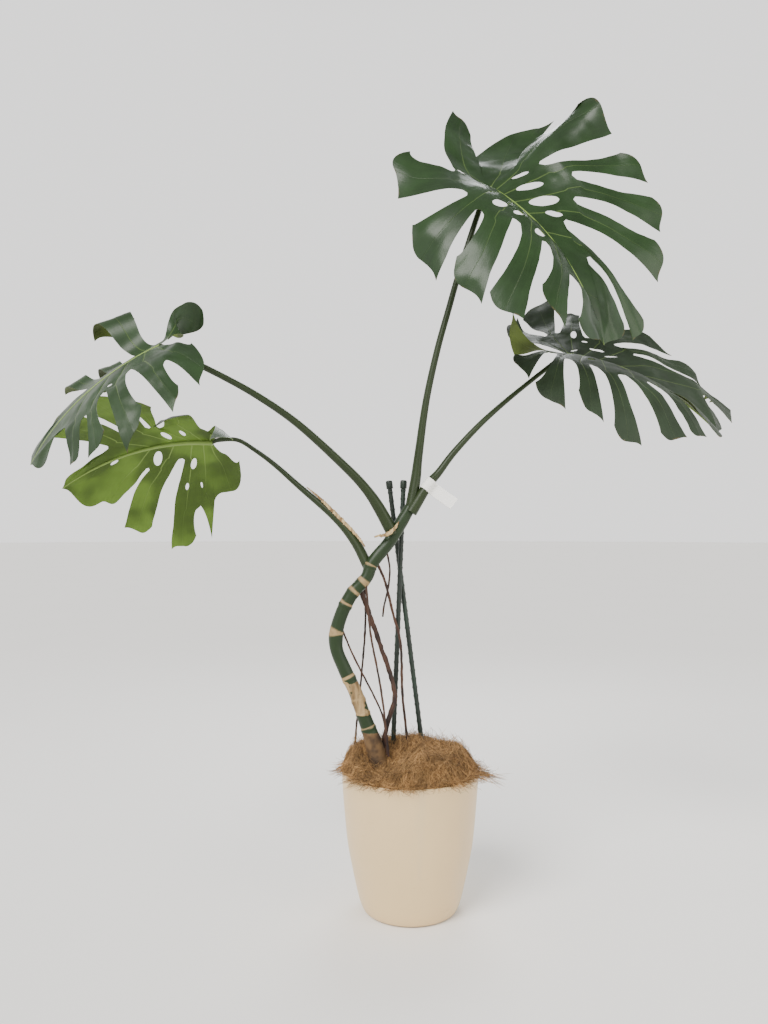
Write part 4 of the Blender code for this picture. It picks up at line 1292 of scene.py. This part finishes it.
class MONSTERA_OT_stage(bpy.types.Operator):
    """Lay the floor and set the lights and the camera"""
    bl_idname = "monstera.stage"
    bl_label = "Stage"

    EYE = Vector((-0.0535, -1.75, 0.786))
    FOCAL_LENGTH = 29.88
    SHIFT_UP = 0.0127
    FLOOR_RADIUS = 40.0
    # kind, place, a sun's angle or a disk's width, power and colour of each lamp
    LAMPS = {
        "key": ("SUN", (-1.2, -1.7, 2.9), math.radians(30), 4.0, (1.0, 0.98, 0.95)),
        "fill": ("AREA", (1.9, -1.5, 1.6), 1.6, 24, (1.0, 0.95, 0.88)),
        "back": ("AREA", (0.3, 1.9, 2.5), 1.4, 40, (0.97, 0.99, 1.0)),
    }

    def execute(self, context):
        scene = context.scene
        shape = bmesh.new()
        bmesh.ops.create_circle(shape, cap_ends=True, radius=self.FLOOR_RADIUS, segments=96)
        mesh = bpy.data.meshes.new("floor")
        shape.to_mesh(mesh)
        shape.free()
        mesh.materials.append(floor_finish())
        floor = bpy.data.objects.new("floor", mesh)
        scene.collection.objects.link(floor)
        for name, lamp in self.LAMPS.items():
            self.light(name, *lamp)
        world = bpy.data.worlds.new("studio")
        world.use_nodes = True
        air = Paint("studio", world.node_tree)
        way = air.node("ShaderNodeTexCoord", {}, {}, "Generated")
        height = air.node("ShaderNodeSeparateXYZ", {}, {0: way}, "Z")
        glow = air.mix(height.rise(0.50, 0.72), (1.56, 1.54, 1.52), (0.40, 0.40, 0.40))
        air.feed(world.node_tree.nodes["Background"].inputs["Color"], glow)
        scene.world = world
        lens = bpy.data.cameras.new("camera")
        lens.lens = self.FOCAL_LENGTH
        lens.shift_y = self.SHIFT_UP
        camera = bpy.data.objects.new("camera", lens)
        camera.location = self.EYE
        camera.rotation_euler = (math.pi / 2, 0, 0)
        scene.collection.objects.link(camera)
        scene.camera = camera
        return {"FINISHED"}

    def light(self, name, kind, place, size, power, colour):
        """A lamp that looks at the plant's middle; size is a sun's angle or a disk's width."""
        lamp = bpy.data.lights.new(name, kind)
        if kind == "SUN":
            lamp.angle = size
        else:
            lamp.shape = "DISK"
            lamp.size = size
        lamp.energy = power
        lamp.color = colour
        thing = bpy.data.objects.new(name, lamp)
        thing.location = place
        aim = Vector((0, 0, 1)) - Vector(place)
        thing.rotation_euler = aim.to_track_quat("-Z", "Y").to_euler()
        bpy.context.scene.collection.objects.link(thing)


class MONSTERA_PT_panel(bpy.types.Panel):
    """Sizes, colours and the build steps"""
    bl_idname = "MONSTERA_PT_panel"
    bl_label = "Potted Monstera"
    bl_space_type = "VIEW_3D"
    bl_region_type = "UI"
    bl_category = "Monstera"

    def draw(self, context):
        for name, group in GROUPS.items():
            box = self.layout.box()
            settings = getattr(context.scene, name)
            for prop in group.__annotations__:
                box.prop(settings, prop)
        for step in STEPS:
            self.layout.operator(step.bl_idname)


GROUPS = {
    "monstera_pot": PotSettings,
    "monstera_coir": CoirSettings,
    "monstera_stems": StemSettings,
    "monstera_leaves": LeafSettings,
}
STEPS = (
    MONSTERA_OT_stage, MONSTERA_OT_pot, MONSTERA_OT_soil, MONSTERA_OT_coir, MONSTERA_OT_stems,
    MONSTERA_OT_roots, MONSTERA_OT_stakes, MONSTERA_OT_husks, MONSTERA_OT_label,
    MONSTERA_OT_leaves,
)


def register():
    for group in (*GROUPS.values(), *STEPS, MONSTERA_PT_panel):
        bpy.utils.register_class(group)
    for name, group in GROUPS.items():
        setattr(bpy.types.Scene, name, PointerProperty(type=group))


def unregister():
    for name in GROUPS:
        delattr(bpy.types.Scene, name)
    for group in reversed((*GROUPS.values(), *STEPS, MONSTERA_PT_panel)):
        bpy.utils.unregister_class(group)


def main():
    register()
    for step in STEPS:
        area, action = step.bl_idname.split(".")
        if getattr(getattr(bpy.ops, area), action)() != {"FINISHED"}:
            raise RuntimeError(f"{step.bl_label} was not built")


if __name__ == "__main__":
    main()
